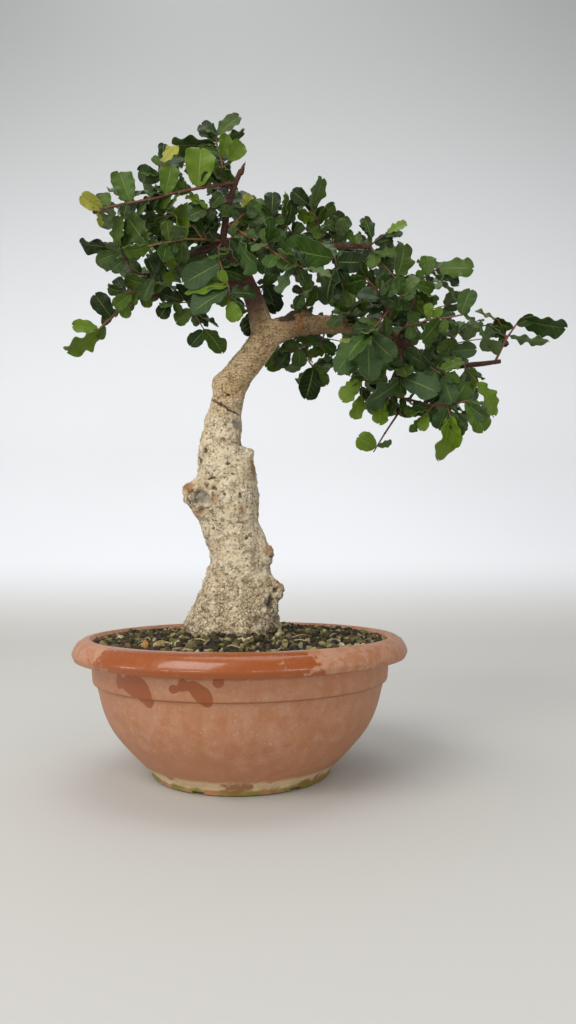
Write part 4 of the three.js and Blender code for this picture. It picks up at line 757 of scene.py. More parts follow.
@dataclass
class Growth:
    """Grows the leafy shoots by the rule that the solids were grown by."""

    seed: int = 20177
    trunk_rings: int = 30
    side_stem: float = 0.62
    thinnest: float = 0.75
    taper: float = 0.45
    far_twig: float = 1.7
    base_spacing: float = 1.9
    stem_steps: int = 8
    least_breadth: float = 0.6
    shrinks: Row = (1, 0.8)
    leans: Row = (0, 5, -5, 10, -10, 15, -15, 20, -20, 26, -26)
    rolls: Row = (0, 0.45, -0.45)
    turns: Row = (0, 0.4, -0.4, 0.8, -0.8)
    lifts: Row = (0, 0.35, -0.35)
    tries: float = 3.0
    small_length: Row = (13, 25)
    small_gaps: Row = (2.0, 1.2, 1.0)

    def __post_init__(self) -> None:
        """Take the trunk and the limbs."""
        self.draws = Draws(self.seed)
        self.taken = Clearance()
        axis = smooth_points([VIEW.place(row) for row in TRUNK_AXIS], self.trunk_rings)
        zero = np.zeros(1)
        self.taken.take_stem(axis, [float(trunk_radius(i / self.trunk_rings, zero)[0])
                                    for i in range(len(axis))])
        for rows in LIMBS.values():
            self.taken.take_stem([VIEW.place(row) for row in rows], [row[3] for row in rows])

    def stems(self, routes: tuple, radius: float) -> list[tuple[list[Point], list[float]]]:
        """Give a shoot's stems as points and radii, tapered to their ends.

        Args:
            routes: Rows of seen spots.
            radius: Radius at the foot.

        Returns:
            Points and radii of each.
        """
        found = []
        for i, route in enumerate(routes):
            start = radius if i == 0 else max(self.side_stem * radius, self.thinnest)
            radii = [start * (1 - self.taper * k / (len(route) - 1)) for k in range(len(route))]
            found.append(([VIEW.place(spot) for spot in route], radii))
        return found

    def fit(self, base: Point, tip_at: Callable[[float], Point], seen: float, looks: Looks,
            tint: Tint) -> Blade | None:
        """Turn a base, a tip and a seen width into a blade that is clear of all that stands.

        Args:
            base: Foot of the leaflet on its stem.
            tip_at: Gives the tip for a lean in depth.
            seen: Width as seen.
            looks: Its drawn looks.
            tint: Its colour group.

        Returns:
            The leaflet, or None where there is no room.
        """
        facing = unit(np.array(VIEW.at) - base)
        near = self.taken.near(base, 130)
        for shrink in self.shrinks:
            for lean in self.leans:
                for roll in self.rolls:
                    axis = (tip_at(lean) - base) * shrink
                    length = float(np.linalg.norm(axis))
                    width = max(seen * shrink, self.least_breadth * length)
                    turn = math.acos(min(seen * shrink / width, 1)) * looks.handed
                    turn += looks.roll + roll
                    blade = Blade(looks, base, frame_of(axis / length, facing, turn), length,
                                  width, tint)
                    spots, shares = blade.spots()
                    if near.is_clear(spots, shares, base):
                        self.taken.take(spots, shares, base)
                        return blade
        return None

    def seen_leaves(self, shoot: Shoot) -> list[Blade]:
        """Grow the leaflets that are given by their seen base and tip.

        Args:
            shoot: The shoot.

        Returns:
            Those that found room.
        """
        used: list[Point] = []
        leaves = []
        for base_across, base_down, tip_across, tip_down, width, tint in shoot.leaflets:
            looks = Looks.drawn(self.draws)
            spots = []
            for route in shoot.stems:
                for start, end in zip(route, route[1:]):
                    for k in range(self.stem_steps):
                        part = (k + 0.4) / self.stem_steps
                        spots.append([a + (b - a) * part for a, b in zip(start, end)])
            spots.sort(key=lambda s: math.hypot(s[0] - base_across, s[1] - base_down))
            spot = next((s for s in spots if all(
                np.linalg.norm(other - VIEW.place(s)) > self.base_spacing for other in used)),
                spots[0])
            base = VIEW.place(spot)
            used.append(base)
            scale = VIEW.unit_size(spot[2])
            reach = math.hypot(tip_across - spot[0], tip_down - spot[1]) * scale
            depth = spot[2] + looks.lean * reach

            def tip_at(lean: float, tip: Row = (tip_across, tip_down), depth: float = depth
                       ) -> Point:
                """Give the tip for a lean in depth."""
                return VIEW.place((*tip, depth + lean))

            leaves.append(self.fit(base, tip_at, width * scale, looks, tint))
        return [leaf for leaf in leaves if leaf]

    def far_leaves(self, twig: list[Point]) -> list[CompoundLeaf]:
        """Grow the compound leaves of a far twig: at its middle, past it and at its end.

        Args:
            twig: The twig's points.

        Returns:
            Those that found room.
        """
        outwards = unit(twig[2] - twig[0])
        sideways = unit(np.cross(outwards, UPRIGHT))
        facing = unit(UPRIGHT + 0.7 * outwards)
        draws = self.draws
        leaves = []
        for part, swing in ((0, 1), (0.55, -1), (0.97, 0)):
            looks = Looks.drawn(draws)
            base = twig[1] + (twig[2] - twig[1]) * part
            swing = swing + draws.between(-0.25, 0.25)
            climb = draws.between(-0.25, 0.35)
            length = draws.between(37, 50)
            leaflet = length * draws.between(0.52, 0.6)
            near = self.taken.near(base, 160)
            for turn, lift in ((t, u) for t in self.turns for u in self.lifts):
                axis = unit(outwards * math.cos(swing + turn) + sideways * math.sin(swing + turn)
                            + UPRIGHT * (climb + lift))
                leaf = CompoundLeaf(looks, base, frame_of(axis, facing, looks.roll), length,
                                    leaflet)
                spots, shares = leaf.spots()
                if is_in_crown(spots) and near.is_clear(spots, shares, base):
                    self.taken.take(spots, shares, base)
                    leaves.append(leaf)
                    break
        return leaves

    def small_leaves(self, sprig: Sprig) -> list[Blade]:
        """Fill a shoot's gaps with the small leaflets that the solids leave out.

        Args:
            sprig: The shoot.

        Returns:
            The leaflets.
        """
        draw = self.draws.between
        leaves = []
        for points, _ in sprig.stems:
            for start, end in zip(points, points[1:]):
                span = float(np.linalg.norm(end - start))
                for _ in range(round(self.tries * span / 10)):
                    base = start + (end - start) * draw(0.1, 1)
                    along = unit(end - start)
                    way = np.array((draw(-1, 1), draw(-0.25, 1.2), draw(-0.8, 1)))
                    axis = unit(way - along * way.dot(along) + along * draw(0, 0.9))
                    length = draw(*self.small_length)
                    facing = unit(np.array((draw(-0.6, 0.6), draw(-1.2, -0.1), draw(0.2, 1))))
                    blade = Blade(Looks.drawn(self.draws), base, frame_of(axis, facing, 0.0),
                                  length, draw(0.62, 0.78) * length, Tint.GREEN)
                    spots, shares = blade.spots()
                    near = self.taken.near(base, 70)
                    near.leaf_gap, near.twin_gap, near.stem_gap = self.small_gaps
                    if is_in_crown(spots) and near.is_clear(spots, shares, base):
                        self.taken.take(spots, shares, base)
                        leaves.append(blade)
        return leaves

    def grow(self) -> list[Sprig]:
        """Grow every shoot: the stems first, then the seen leaflets, then the far leaves.

        Returns:
            The seen shoots, then the far ones.
        """
        near = [Sprig(shoot.name, self.stems(shoot.stems, shoot.radius)) for shoot in SHOOTS]
        far = [Sprig(name, self.stems((route,), self.far_twig))
               for name, route in BACK_TWIGS.items()]
        for sprig in near + far:
            for points, radii in sprig.stems:
                self.taken.take_stem(points, radii)
        for sprig, shoot in zip(near, SHOOTS):
            sprig.leaves = self.seen_leaves(shoot)
        for sprig in far:
            sprig.leaves = self.far_leaves(sprig.stems[0][0])
        for sprig in near + far:
            sprig.leaves = sprig.leaves + self.small_leaves(sprig)
        return near + far


def srgb(red: int, green: int, blue: int) -> Row:
    """Turn an sRGB colour of 0 to 255 into a linear one with alpha.

    Args:
        red: Red.
        green: Green.
        blue: Blue.

    Returns:
        The linear colour.
    """
    parts = [c / 255 for c in (red, green, blue)]
    return tuple(c / 12.92 if c <= 0.04045 else ((c + 0.055) / 1.055) ** 2.4
                 for c in parts) + (1.0,)


def math_method(operation: str, swapped: bool = False) -> Callable[..., "Value"]:
    """Make a method of Value that adds a Math node.

    Args:
        operation: The node's operation.
        swapped: Whether the other value comes first.

    Returns:
        The method.
    """
    def method(self: "Value", *others: Any) -> "Value":
        """Add the node and give its output."""
        values = (*others, self) if swapped else (self, *others)
        return self.graph.node("Math", {"operation": operation}, dict(enumerate(values)))
    return method


class Value:
    """An output of a shader node that takes part in plain arithmetic."""

    __add__ = __radd__ = math_method("ADD")
    __sub__, __rsub__ = math_method("SUBTRACT"), math_method("SUBTRACT", True)
    __mul__ = __rmul__ = math_method("MULTIPLY")
    __truediv__, __pow__ = math_method("DIVIDE"), math_method("POWER")
    __abs__, sine = math_method("ABSOLUTE"), math_method("SINE")
    most, angle = math_method("MAXIMUM"), math_method("ARCTAN2")

    def __init__(self, graph: "Graph", socket: bpy.types.NodeSocket) -> None:
        """Wrap a socket of a graph."""
        self.graph, self.socket = graph, socket

    def rise(self, low: float, high: float) -> "Value":
        """Rise smoothly from 0 at low to 1 at high, also where low is the larger."""
        return self.graph.node("MapRange", {"interpolation_type": "SMOOTHSTEP"}, {
            "Value": self, "From Min": low, "From Max": high, "To Min": 0.0, "To Max": 1.0})

    def parts(self) -> tuple["Value", "Value", "Value"]:
        """Split a vector or colour into three values."""
        outputs = self.graph.node("SeparateXYZ", {}, {"Vector": self}).socket.node.outputs
        return tuple(Value(self.graph, outputs[i]) for i in range(3))


class Graph:
    """A material's nodes."""

    def __init__(self, name: str) -> None:
        """Start an empty material."""
        self.material = bpy.data.materials.new(name)
        self.material.use_nodes = True
        self.tree = self.material.node_tree
        self.tree.nodes.clear()

    def node(self, kind: str, settings: dict[str, Any] | None = None,
             values: dict[Any, Any] | None = None, out: int | str = 0) -> Value:
        """Add a node.

        Args:
            kind: Its type without the ShaderNode in front.
            settings: Its properties, which are set first.
            values: Its sockets by name, identifier or number, as constants or links.
            out: The output that is handed back.

        Returns:
            That output.
        """
        made = self.tree.nodes.new("ShaderNode" + kind)
        for key, setting in (settings or {}).items():
            setattr(made, key, setting)
        named = {socket.identifier: socket for socket in made.inputs}
        for key, value in (values or {}).items():
            socket = made.inputs[key] if isinstance(key, int) else named.get(key)
            socket = socket or made.inputs[key]
            if isinstance(value, Value):
                self.tree.links.new(value.socket, socket)
            else:
                socket.default_value = value
        return Value(self, made.outputs[out])

    def place(self) -> Value:
        """Give the object's coordinates in millimetres."""
        spot = self.node("TexCoord", out="Object")
        return self.node("VectorMath", {"operation": "SCALE"}, {0: spot, "Scale": 1000.0})

    def attribute(self, name: str, out: str = "Color") -> Value:
        """Read a mesh attribute."""
        return self.node("Attribute", {"attribute_type": "GEOMETRY", "attribute_name": name},
                         out=out)

    def noise(self, vector: Value, size: float, detail: float = 3.0, roughness: float = 0.55,
              out: str = "Fac") -> Value:
        """Add noise with a grain size in the vector's own units."""
        return self.node("TexNoise", {}, {"Vector": vector, "Scale": 1 / size,
                                          "Detail": detail, "Roughness": roughness}, out)

    def cells(self, vector: Value, size: float, feature: str = "F1",
              out: str = "Distance") -> Value:
        """Add a cell pattern with a cell size in the vector's own units."""
        return self.node("TexVoronoi", {"feature": feature}, {"Vector": vector,
                                                              "Scale": 1 / size}, out)

    def stretch(self, vector: Value, x: float, y: float, z: float) -> Value:
        """Scale a vector along its axes."""
        return self.node("VectorMath", {"operation": "MULTIPLY"}, {0: vector, 1: (x, y, z)})

    def layered(self, base: Any, *layers: tuple[Any, Any]) -> Value:
        """Lay colours over a base.

        Args:
            base: The first colour.
            layers: A share and a colour for each layer, in order.

        Returns:
            The colour on top.
        """
        for share, colour in layers:
            base = self.node("Mix", {"data_type": "RGBA"}, {
                "Factor_Float": share, "A_Color": base, "B_Color": colour}, 2)
        return base

    def bump(self, height: Value, depth: float, under: Value | None = None) -> Value:
        """Raise a surface by a height of 0 to 1 times a depth in millimetres."""
        values = {"Height": height, "Distance": depth * MM, "Strength": 1.0}
        return self.node("Bump", {}, {**values, "Normal": under} if under else values)

    def close(self, colour: Any, rough: Any, normal: Value | None = None,
              **constants: float) -> bpy.types.Material:
        """Finish the material.

        Args:
            colour: Base colour.
            rough: Roughness.
            normal: Normal, if it has any relief.
            constants: Other inputs of the surface, with _ for a space.

        Returns:
            The material.
        """
        values = {"Base Color": colour, "Roughness": rough}
        values |= {key.replace("_", " "): value for key, value in constants.items()}
        if normal:
            values["Normal"] = normal
        surface = self.node("BsdfPrincipled", {}, values)
        end = self.tree.nodes.new("ShaderNodeOutputMaterial")
        self.tree.links.new(surface.socket, end.inputs["Surface"])
        return self.material


class Form:
    """A piece in the making: a bmesh in millimetres with a colour and a map of its own."""

    def __init__(self, name: str) -> None:
        """Start an empty piece."""
        self.name = name
        self.mesh = bmesh.new()
        self.tint = self.mesh.verts.layers.float_color.new("tint")
        self.mesh.loops.layers.uv.new("blade")

    def paint(self, verts: Iterable[bmesh.types.BMVert], tint: Row) -> None:
        """Give vertices a tint."""
        for vert in verts:
            vert[self.tint] = tint

    def tube(self, points: Sequence[Point], radii: Sequence[Point | float], sides: int,
             tint: Row, material: int = 0) -> None:
        """Extrude a ring along points and close its ends.

        Args:
            points: Centres of its rings.
            radii: A radius for each ring, or an array with one for each side.
            sides: Number of its sides.
            tint: Its tint.
            material: Number of its material slot.
        """
        mesh = self.mesh
        ring = bmesh.ops.create_circle(mesh, cap_ends=True, segments=sides, radius=1.0)["verts"]
        made = list(ring)
        bearings = 2 * np.pi * np.arange(sides) / sides
        across = np.array((1.0, 0.0, 0.0))
        faces = list(ring[0].link_faces)
        for i, point in enumerate(points):
            if i > 0:
                edges = [mesh.edges.get((ring[k - 1], ring[k])) for k in range(sides)]
                order = {tuple(vert.co): k for k, vert in enumerate(ring)}
                geom = bmesh.ops.extrude_edge_only(mesh, edges=edges)["geom"]
                new = [part for part in geom if isinstance(part, bmesh.types.BMVert)]
                faces += [part for part in geom if isinstance(part, bmesh.types.BMFace)]
                ring = sorted(new, key=lambda vert: order[tuple(vert.co)])
                made += ring
            ahead = points[min(i + 1, len(points) - 1)] - points[max(i - 1, 0)]
            ahead = unit(ahead)
            if i == 0 and abs(ahead[0]) > 0.8:
                across = UPRIGHT
            across = unit(across - ahead * across.dot(ahead))
            up = np.cross(ahead, across)
            spots = (point + np.outer(radii[i] * np.cos(bearings), across)
                     + np.outer(radii[i] * np.sin(bearings), up))
            for vert, spot in zip(ring, spots):
                vert.co = spot
        edges = [mesh.edges.get((ring[k - 1], ring[k])) for k in range(sides)]
        faces += bmesh.ops.holes_fill(mesh, edges=edges, sides=sides)["faces"]
        bmesh.ops.recalc_face_normals(mesh, faces=faces)
        self.paint(made, tint)
        for face in faces:
            face.material_index = material

    def merge(self, part: "Form") -> None:
        """Take in a smaller piece in the making, which is quicker than growing one large one.

        Args:
            part: The smaller piece, which is freed.
        """
        data = bpy.data.meshes.new("part")
        part.mesh.to_mesh(data)
        part.mesh.free()
        self.mesh.from_mesh(data)
        bpy.data.meshes.remove(data)

    def close(self, materials: Sequence[bpy.types.Material], slot: Slot,
              nodes: Sequence[str] = (), smooth: bool = True) -> bpy.types.Object:
        """Make the piece's object, in metres.

        Args:
            materials: Its materials in the order of their slots.
            slot: The record's slot.
            nodes: The solids that it stands for.
            smooth: Whether its faces are smooth.

        Returns:
            The object, which rides on the root.
        """
        self.mesh.transform(Matrix.Scale(MM, 4))
        for face in self.mesh.faces:
            face.smooth = smooth
        return enlist(linked(self.name, self.mesh), materials, slot, nodes)


def linked(name: str, mesh: bmesh.types.BMesh) -> bpy.types.Object:
    """Turn a bmesh into an object of the scene.

    Args:
        name: Name of the object and its mesh.
        mesh: The bmesh, which is freed.

    Returns:
        The object.
    """
    data = bpy.data.meshes.new(name)
    mesh.to_mesh(data)
    mesh.free()
    made = bpy.data.objects.new(name, data)
    bpy.context.scene.collection.objects.link(made)
    return made


def shaped(rough: bpy.types.Object, name: str) -> bpy.types.Object:
    """Put the outcome of an object's modifiers in its place.

    Args:
        rough: The object, which is removed.
        name: Name of the new object and its mesh.

    Returns:
        The new object.
    """
    data = bpy.data.meshes.new_from_object(
        rough.evaluated_get(bpy.context.evaluated_depsgraph_get()))
    data.name = name
    bpy.data.objects.remove(rough)
    made = bpy.data.objects.new(name, data)
    bpy.context.scene.collection.objects.link(made)
    return made


def enlist(piece: bpy.types.Object, materials: Sequence[bpy.types.Material], slot: Slot,
           nodes: Sequence[str] = ()) -> bpy.types.Object:
    """Dress a piece and report it.

    Args:
        piece: Its object.
        materials: Its materials in the order of their slots.
        slot: The record's slot; not used.
        nodes: The solids that it stands for.

    Returns:
        The object, which rides on the root.
    """
    for material in materials:
        piece.data.materials.append(material)
    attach(piece, "root")
    if nodes:
        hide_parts(*nodes)
    count = sum(len(face.vertices) - 2 for face in piece.data.polygons)
    log.info("%s: %d triangles for %d solids", piece.name, count, len(nodes))
    return piece


@dataclass(frozen=True)
class LeafFinish:
    """Glossy dark leaf with a pale rib, paler and duller below, with painted light shining through
    some leaves in lime and a painted bluish sheen on others.
    """

    dark: Row = srgb(24, 41, 12)
    fresh: Row = srgb(54, 80, 20)
    # Painted light shining through the leaf
    lime: Row = srgb(98, 124, 24)
    yellow: Row = srgb(150, 148, 58)
    # Painted bluish sheen of reflected light
    bluish_sheen: Row = srgb(64, 86, 52)
    rib: Row = srgb(118, 136, 62)
    brown: Row = srgb(84, 58, 26)
    pale: Row = srgb(120, 134, 96)
    vein_count: float = 8.0

    def face(self, name: str, below: float) -> bpy.types.Material:
        """Make a face's finish.

        Args:
            name: Name of the material.
            below: 0 for the upper face, 1 for the lower one.

        Returns:
            The material.
        """
        graph = Graph(name)
        yellow, lime, bluish_sheen = graph.attribute("tint").parts()
        chance = graph.attribute("tint", "Alpha")
        along, across, _ = graph.node("UVMap", {"uv_map": "blade"}).parts()
        spot = graph.place()
        side = abs(across - 0.5) * 2
        patches = graph.noise(spot, 9.0, 3.0)
        ripple = ((along * self.vein_count - side * 1.6) * (2 * math.pi)).sine()
        veins = ripple.rise(0.72, 1.0) * side.rise(1.0, 0.3)
        rib = side.rise(0.085, 0.02) * along.rise(1.02, 0.6)
        # The lime layer is painted light shining through the leaf, and the bluish layer a painted
        # sheen
        base = graph.layered(
            self.dark, ((chance * 0.95 + patches * 0.5 - 0.36).rise(0, 1), self.fresh),
            (lime * (0.62 + 0.3 * patches), self.lime),
            (bluish_sheen * 0.55 + patches.rise(0.5, 0.8) * 0.12, self.bluish_sheen),
            (yellow * 0.9, self.yellow))
        spots = graph.noise(spot, 3.2, 2.0).rise(0.66, 0.7) * yellow
        base = graph.layered(
            base, (spots, self.brown), (veins * 0.16, self.rib), (rib * 0.6, self.rib))
        if below:
            base = graph.layered(base, (0.35, self.pale))
        rough = 0.36 + 0.2 * patches + bluish_sheen * 0.12 + 0.24 * below
        relief = graph.bump(1 - rib * 0.7 - veins * 0.5 + patches * 0.7, 0.5)
        return graph.close(base, rough, relief, Specular_IOR_Level=0.2 - 0.06 * below)


@dataclass(frozen=True)
class TwigFinish:
    """Thin young bark: red-brown, salmon, tan or green by the tint."""

    brown: Row = srgb(84, 48, 36)
    salmon: Row = srgb(140, 76, 56)
    tan: Row = srgb(150, 118, 66)
    green: Row = srgb(96, 112, 44)
    grime: Row = srgb(70, 52, 40)

    def make(self) -> bpy.types.Material:
        """Make the finish.

        Returns:
            The material.
        """
        graph = Graph("twig_bark")
        salmon, tan, green = graph.attribute("tint").parts()
        spot = graph.place()
        grain = graph.noise(spot, 1.4, 4.0)
        base = graph.layered(
            self.brown, (salmon, self.salmon), (tan, self.tan), (green, self.green),
            (grain.rise(0.45, 0.75) * 0.5, self.grime))
        return graph.close(base, 0.5 + 0.2 * grain, graph.bump(grain, 0.25))


# Shares of salmon and tan where they aren't a tenth each
TWIG_TINTS = {"shoot_red_front": (0.9, 0.0), "shoot_left_light": (0.3, 0.5),
              "shoot_upper_left": (0.35, 0.0), "shoot_right_front": (0.4, 0.0),
              "shoot_low_right": (0.45, 0.0), "shoot_far_end": (0.45, 0.0)}


@dataclass
class Foliage:
    """The leafy shoots, in pieces by region of the crown."""

    thickness: float = 0.5
    twig_sides: int = 7
    slim: float = 0.84
    grids: tuple[tuple[float, int, int], ...] = ((15, 12, 4), (24, 17, 6), (math.inf, 23, 6))
    ring_step: float = 3.5
    regions: tuple[tuple[str, str], ...] = (
        ("leaves_left_high", "upper_left top upper_inner left_light"),
        ("leaves_left_low", "left_outer left_lime low_left_upper low_left_end low_left_hang "
                            "fork_back"),
        ("leaves_middle", "hub_down hub_right red_front crown_left crown_middle crown_right "
                          "crown_hub"),
        ("leaves_right_front", "round_leaf right_hub limb_hub right_front limb_middle limb_top "
                               "under_left hang_left"),
        ("leaves_right_end", "right_green right_long far_end far_middle far_low low_right "
                             "low_right_front centre_down droop_leaf droop_end"),
    )
    far_split: int = 8

    def __post_init__(self) -> None:
        """Start the draws of the tints."""
        self.draws = Draws(4711)

    def blade(self, form: Form, surface: Callable[[Point, Point, Point], Point], length: float,
              tint: Row) -> None:
        """Shape one leaflet from a grid.

        Args:
            form: The piece it belongs to.
            surface: Gives points for shares, sides and lifts.
            length: Length of the leaflet.
            tint: Its tint.
        """
        steps, rows = next(grid[1:] for grid in self.grids if length < grid[0])
        grid = bmesh.ops.create_grid(form.mesh, x_segments=steps, y_segments=rows, size=1.0,
                                     calc_uvs=True)["verts"]
        spots = np.array([vert.co for vert in grid])
        part = 0.5 * (spots[:, 0] + 1)
        share = 0.002 + 0.996 * (0.55 * part + 0.225 * (1 - np.cos(math.pi * part)))
        side = spots[:, 1]
        turn = 2 * math.pi * tint[3]
        margin = np.abs(side) ** 3
        crinkle = np.sin(2 * math.pi * (2.1 + 1.7 * tint[3]) * share + 3 * turn + 1.7 * side)
        lift = 0.058 * length * margin * np.sin(math.pi * share) * crinkle
        scallop = 1 + 0.025 * margin * np.sin(2 * math.pi * 4.6 * share + turn + 2 * side)
        full = (share**0.5 * np.sqrt(1 - share**3.6) / 0.716) / blade_outline(share)
        stalk = 0.14 + 0.86 * smooth_step(0.02, 0.1, share)
        notch = 1 - 0.05 * np.exp(-(side / 0.3) ** 2) * smooth_step(0.8, 1.0, share)
        spots = surface(share * notch, side * full * stalk * scallop, lift + 0.5 * self.thickness)
        for vert, spot in zip(grid, spots):
            vert.co = spot
        form.paint(grid, tint)

    def blades(self, form: Form, sprig: Sprig) -> None:
        """Add a shoot's leaflets.

        Args:
            form: The piece.
            sprig: The shoot.
        """
        for leaf in sprig.leaves:
            tint = self.tint_of(leaf)
            if isinstance(leaf, Blade):
                self.blade(form, leaf.surface, leaf.length, tint)
                continue
            for pair, hand in ((0, 1), (0, -1), (1, 1), (1, -1)):
                self.blade(form, far_surface(leaf, pair, hand), leaf.leaflet * leaf.sizes[pair],
                           (*tint[:3], (tint[3] + 0.2 * pair) % 1.0))

    def tint_of(self, leaf: Blade | CompoundLeaf) -> Row:
        """Draw a leaf's tint round its colour group.

        Args:
            leaf: The leaf.

        Returns:
            Yellow, lime of painted light shining through, painted bluish sheen and a chance.
        """
        draw = self.draws.between
        if isinstance(leaf, Blade):
            yellow, lime, bluish_sheen = leaf.tint.value
        else:
            lime, yellow, bluish_sheen = draw(-0.9, 0.5), 0.0, draw(-0.9, 0.5)
        if isinstance(leaf, Blade) and leaf.tint is Tint.GREEN:
            lime, bluish_sheen = draw(-0.35, 0.5), draw(-0.5, 0.3)
        return (yellow, max(lime, 0.0), max(bluish_sheen, 0.0), draw(0.0, 1.0))

    def thicken(self, form: Form) -> None:
        """Give the blades their thickness, with the lower face in the second slot.

        Args:
            form: The piece, with blades only.
        """
        upper = set(form.mesh.faces)
        bmesh.ops.solidify(form.mesh, geom=list(upper), thickness=self.thickness)
        for face in form.mesh.faces:
            if face not in upper:
                face.material_index = 1
        for edge in form.mesh.edges:
            if len(edge.link_faces) == 2 and edge.calc_face_angle(0.0) > 1.0:
                edge.smooth = False

    def twigs(self, form: Form, sprig: Sprig) -> None:
        """Add a shoot's stems and the ribs of its compound leaves.

        Args:
            form: The piece.
            sprig: The shoot.
        """
        tint = (*TWIG_TINTS.get(sprig.name, (0.1, 0.1)), 0.0, 1.0)
        for points, radii in sprig.stems:
            path, girths = self.resampled(points, radii)
            girths = [self.slim * girth for girth in girths]
            form.tube(path, girths, self.twig_sides, tint, 2)
            for k in range(1, len(points) - 1):
                self.node_ring(form, points, radii, k, tint)
        for leaf in sprig.leaves:
            if isinstance(leaf, CompoundLeaf):
                along = np.linspace(0, leaf.length + 0.8, 7)
                path = leaf.point(along, 0 * along)
                form.tube(list(path), list(np.linspace(0.8, 0.5, 7)), 5, (0.3, 0.2, 0.4, 1.0), 2)

    def node_ring(self, form: Form, points: list[Point], radii: list[float], k: int,
                  tint: Row) -> None:
        """Add the small swelling of a leaf node where a stem turns.

        Args:
            form: The piece.
            points: The stem's points.
            radii: Its radii.
            k: Number of the point.
            tint: Its tint.
        """
        ahead = unit(points[k + 1] - points[k - 1])
        girth = self.slim * radii[k] * 1.28
        offsets = (-0.9, -0.5, 0.0, 0.5, 0.9)
        sizes = (0.72, 0.93, 1.0, 0.93, 0.72)
        form.tube([points[k] + ahead * girth * offset for offset in offsets],
                  [girth * size for size in sizes], self.twig_sides, tint, 2)

    def resampled(self, points: list[Point], radii: list[float]
                  ) -> tuple[list[Point], list[float]]:
        """Split a stem's segments and round its turns a little.

        Args:
            points: The stem's points.
            radii: Its radii.

        Returns:
            More points and radii.
        """
        path: list[Point] = []
        girths: list[float] = []
        for i in range(len(points) - 1):
            steps = max(2, round(float(np.linalg.norm(points[i + 1] - points[i]))
                                 / self.ring_step))
            for k in range(steps):
                part = k / steps
                path.append(points[i] + (points[i + 1] - points[i]) * part)
                girths.append(radii[i] + (radii[i + 1] - radii[i]) * part)
        path.append(points[-1])
        girths.append(radii[-1])
        middle = [0.25 * a + 0.5 * b + 0.25 * c for a, b, c in zip(path, path[1:], path[2:])]
        return [path[0], *middle, path[-1]], girths

    def build(self, sprigs: list[Sprig]) -> None:
        """Build each region's piece.

        Args:
            sprigs: The grown shoots.
        """
        leaf = LeafFinish()
        materials = [leaf.face("leaf_upper", 0.0), leaf.face("leaf_under", 1.0),
                     TwigFinish().make()]
        regions = [(name, tuple(f"shoot_{word}" for word in words.split()))
                   for name, words in self.regions]
        far = tuple(BACK_TWIGS)
        regions += [("leaves_far_left", far[:self.far_split]),
                    ("leaves_far_right", far[self.far_split:])]
        for name, nodes in regions:
            form = Form(name)
            for sprig in sprigs:
                if sprig.name in nodes:
                    part = Form(sprig.name)
                    self.blades(part, sprig)
                    self.thicken(part)
                    self.twigs(part, sprig)
                    form.merge(part)
            form.close(materials, Slot.LEAF, nodes)


def far_surface(leaf: CompoundLeaf, pair: int, hand: int
                ) -> Callable[[Point, Point, Point], Point]:
    """Give the surface of one leaflet of a compound leaf, its upper face upwards.

    Args:
        leaf: The leaf.
        pair: Number of its pair.
        hand: 1 or -1, its side.

    Returns:
        A function like Blade.surface.
    """
    def surface(share: Point, side: Point, lift: Point) -> Point:
        """Give points for shares, sides and lifts."""
        return leaf.surface(pair, hand, share, -hand * side, lift)
    return surface


class Mark(Enum):
    """Kinds of marks on the bark, as parts of its colour attribute."""

    # HOLE is painted near black: painted shade in the sunk pits, the grooves and the fork
    HOLE = 0
    RUST = 1
    SCAR = 2


@dataclass(frozen=True)
class Blemish:
    """A mark: its kind and, as seen, where it is, half its size, its sink, ring and slope."""

    kind: Mark
    across: float
    down: float
    wide: float
    high: float
    sink: float
    ring: float = 0.0
    slope: float = 0.0

    @classmethod
    def read(cls, text: str) -> "Blemish":
        """Read a mark from its kind and its numbers in the order of the fields."""
        kind, *numbers = text.split()
        return cls(Mark[kind], *map(float, numbers))


BLEMISHES = tuple(map(Blemish.read, """
SCAR 201 498 8 9 2.2 4.2, SCAR 201 497 13.5 15.5 0 4.6, RUST 190 489 5 6 -0.8,
HOLE 215 489 2.6 2.2 2.6 0.8, HOLE 212 478.5 3.2 2 2.4 0.8, RUST 201 511 6.5 4.5 0.4,
RUST 215 499 3.4 5.5 0.3, RUST 242 510 3 4.5 0.3, HOLE 224 494 2 1.8 1.4 0.5,
HOLE 240 495 1.6 2.6 1.6 0.5, HOLE 240 523 3.4 0.9 1.6 0.6, HOLE 260 495 2 5 1.2,
RUST 269 548 7 6 -1.4, HOLE 275 557 5.5 2.6 3 0.5, RUST 280 583 6 6 -1.2,
HOLE 272 602 4.2 8 3.2 0.8, SCAR 266 602 2.4 4.5 0.6 0.8, HOLE 276 590 2.6 3 2,
SCAR 236.5 425 3.4 5.5 0.5 0.7, HOLE 229 395 3 1.4 1.6 0.6, HOLE 226 407 17 1.3 1.5 1.6 0.55,
RUST 221 397 9 0.9 0.9 0.8 0.1, RUST 223 439 14 1 0.6 0.6 0.25, RUST 254 466 6 9 -1.6,
HOLE 205 449 2.2 2.6 1.6 0.5, HOLE 198 461 2 3 1.6 0.5, HOLE 228 463 2.2 1.8 1.4 0.5,
HOLE 257 466 3 5.5 1.4 0.4, HOLE 233 474 1.6 1.4 1 0.4, HOLE 246 538 1.8 1.4 1 0.4,
HOLE 213 529 1.4 1.6 0.9 0.3, HOLE 285 316 11 6 0.6, HOLE 294 310 9 5 0.8,
RUST 300.5 323 3 12 -1.6, RUST 262 321 4 2 0.6, HOLE 245 288 3 4 0.5
""".split(",")))


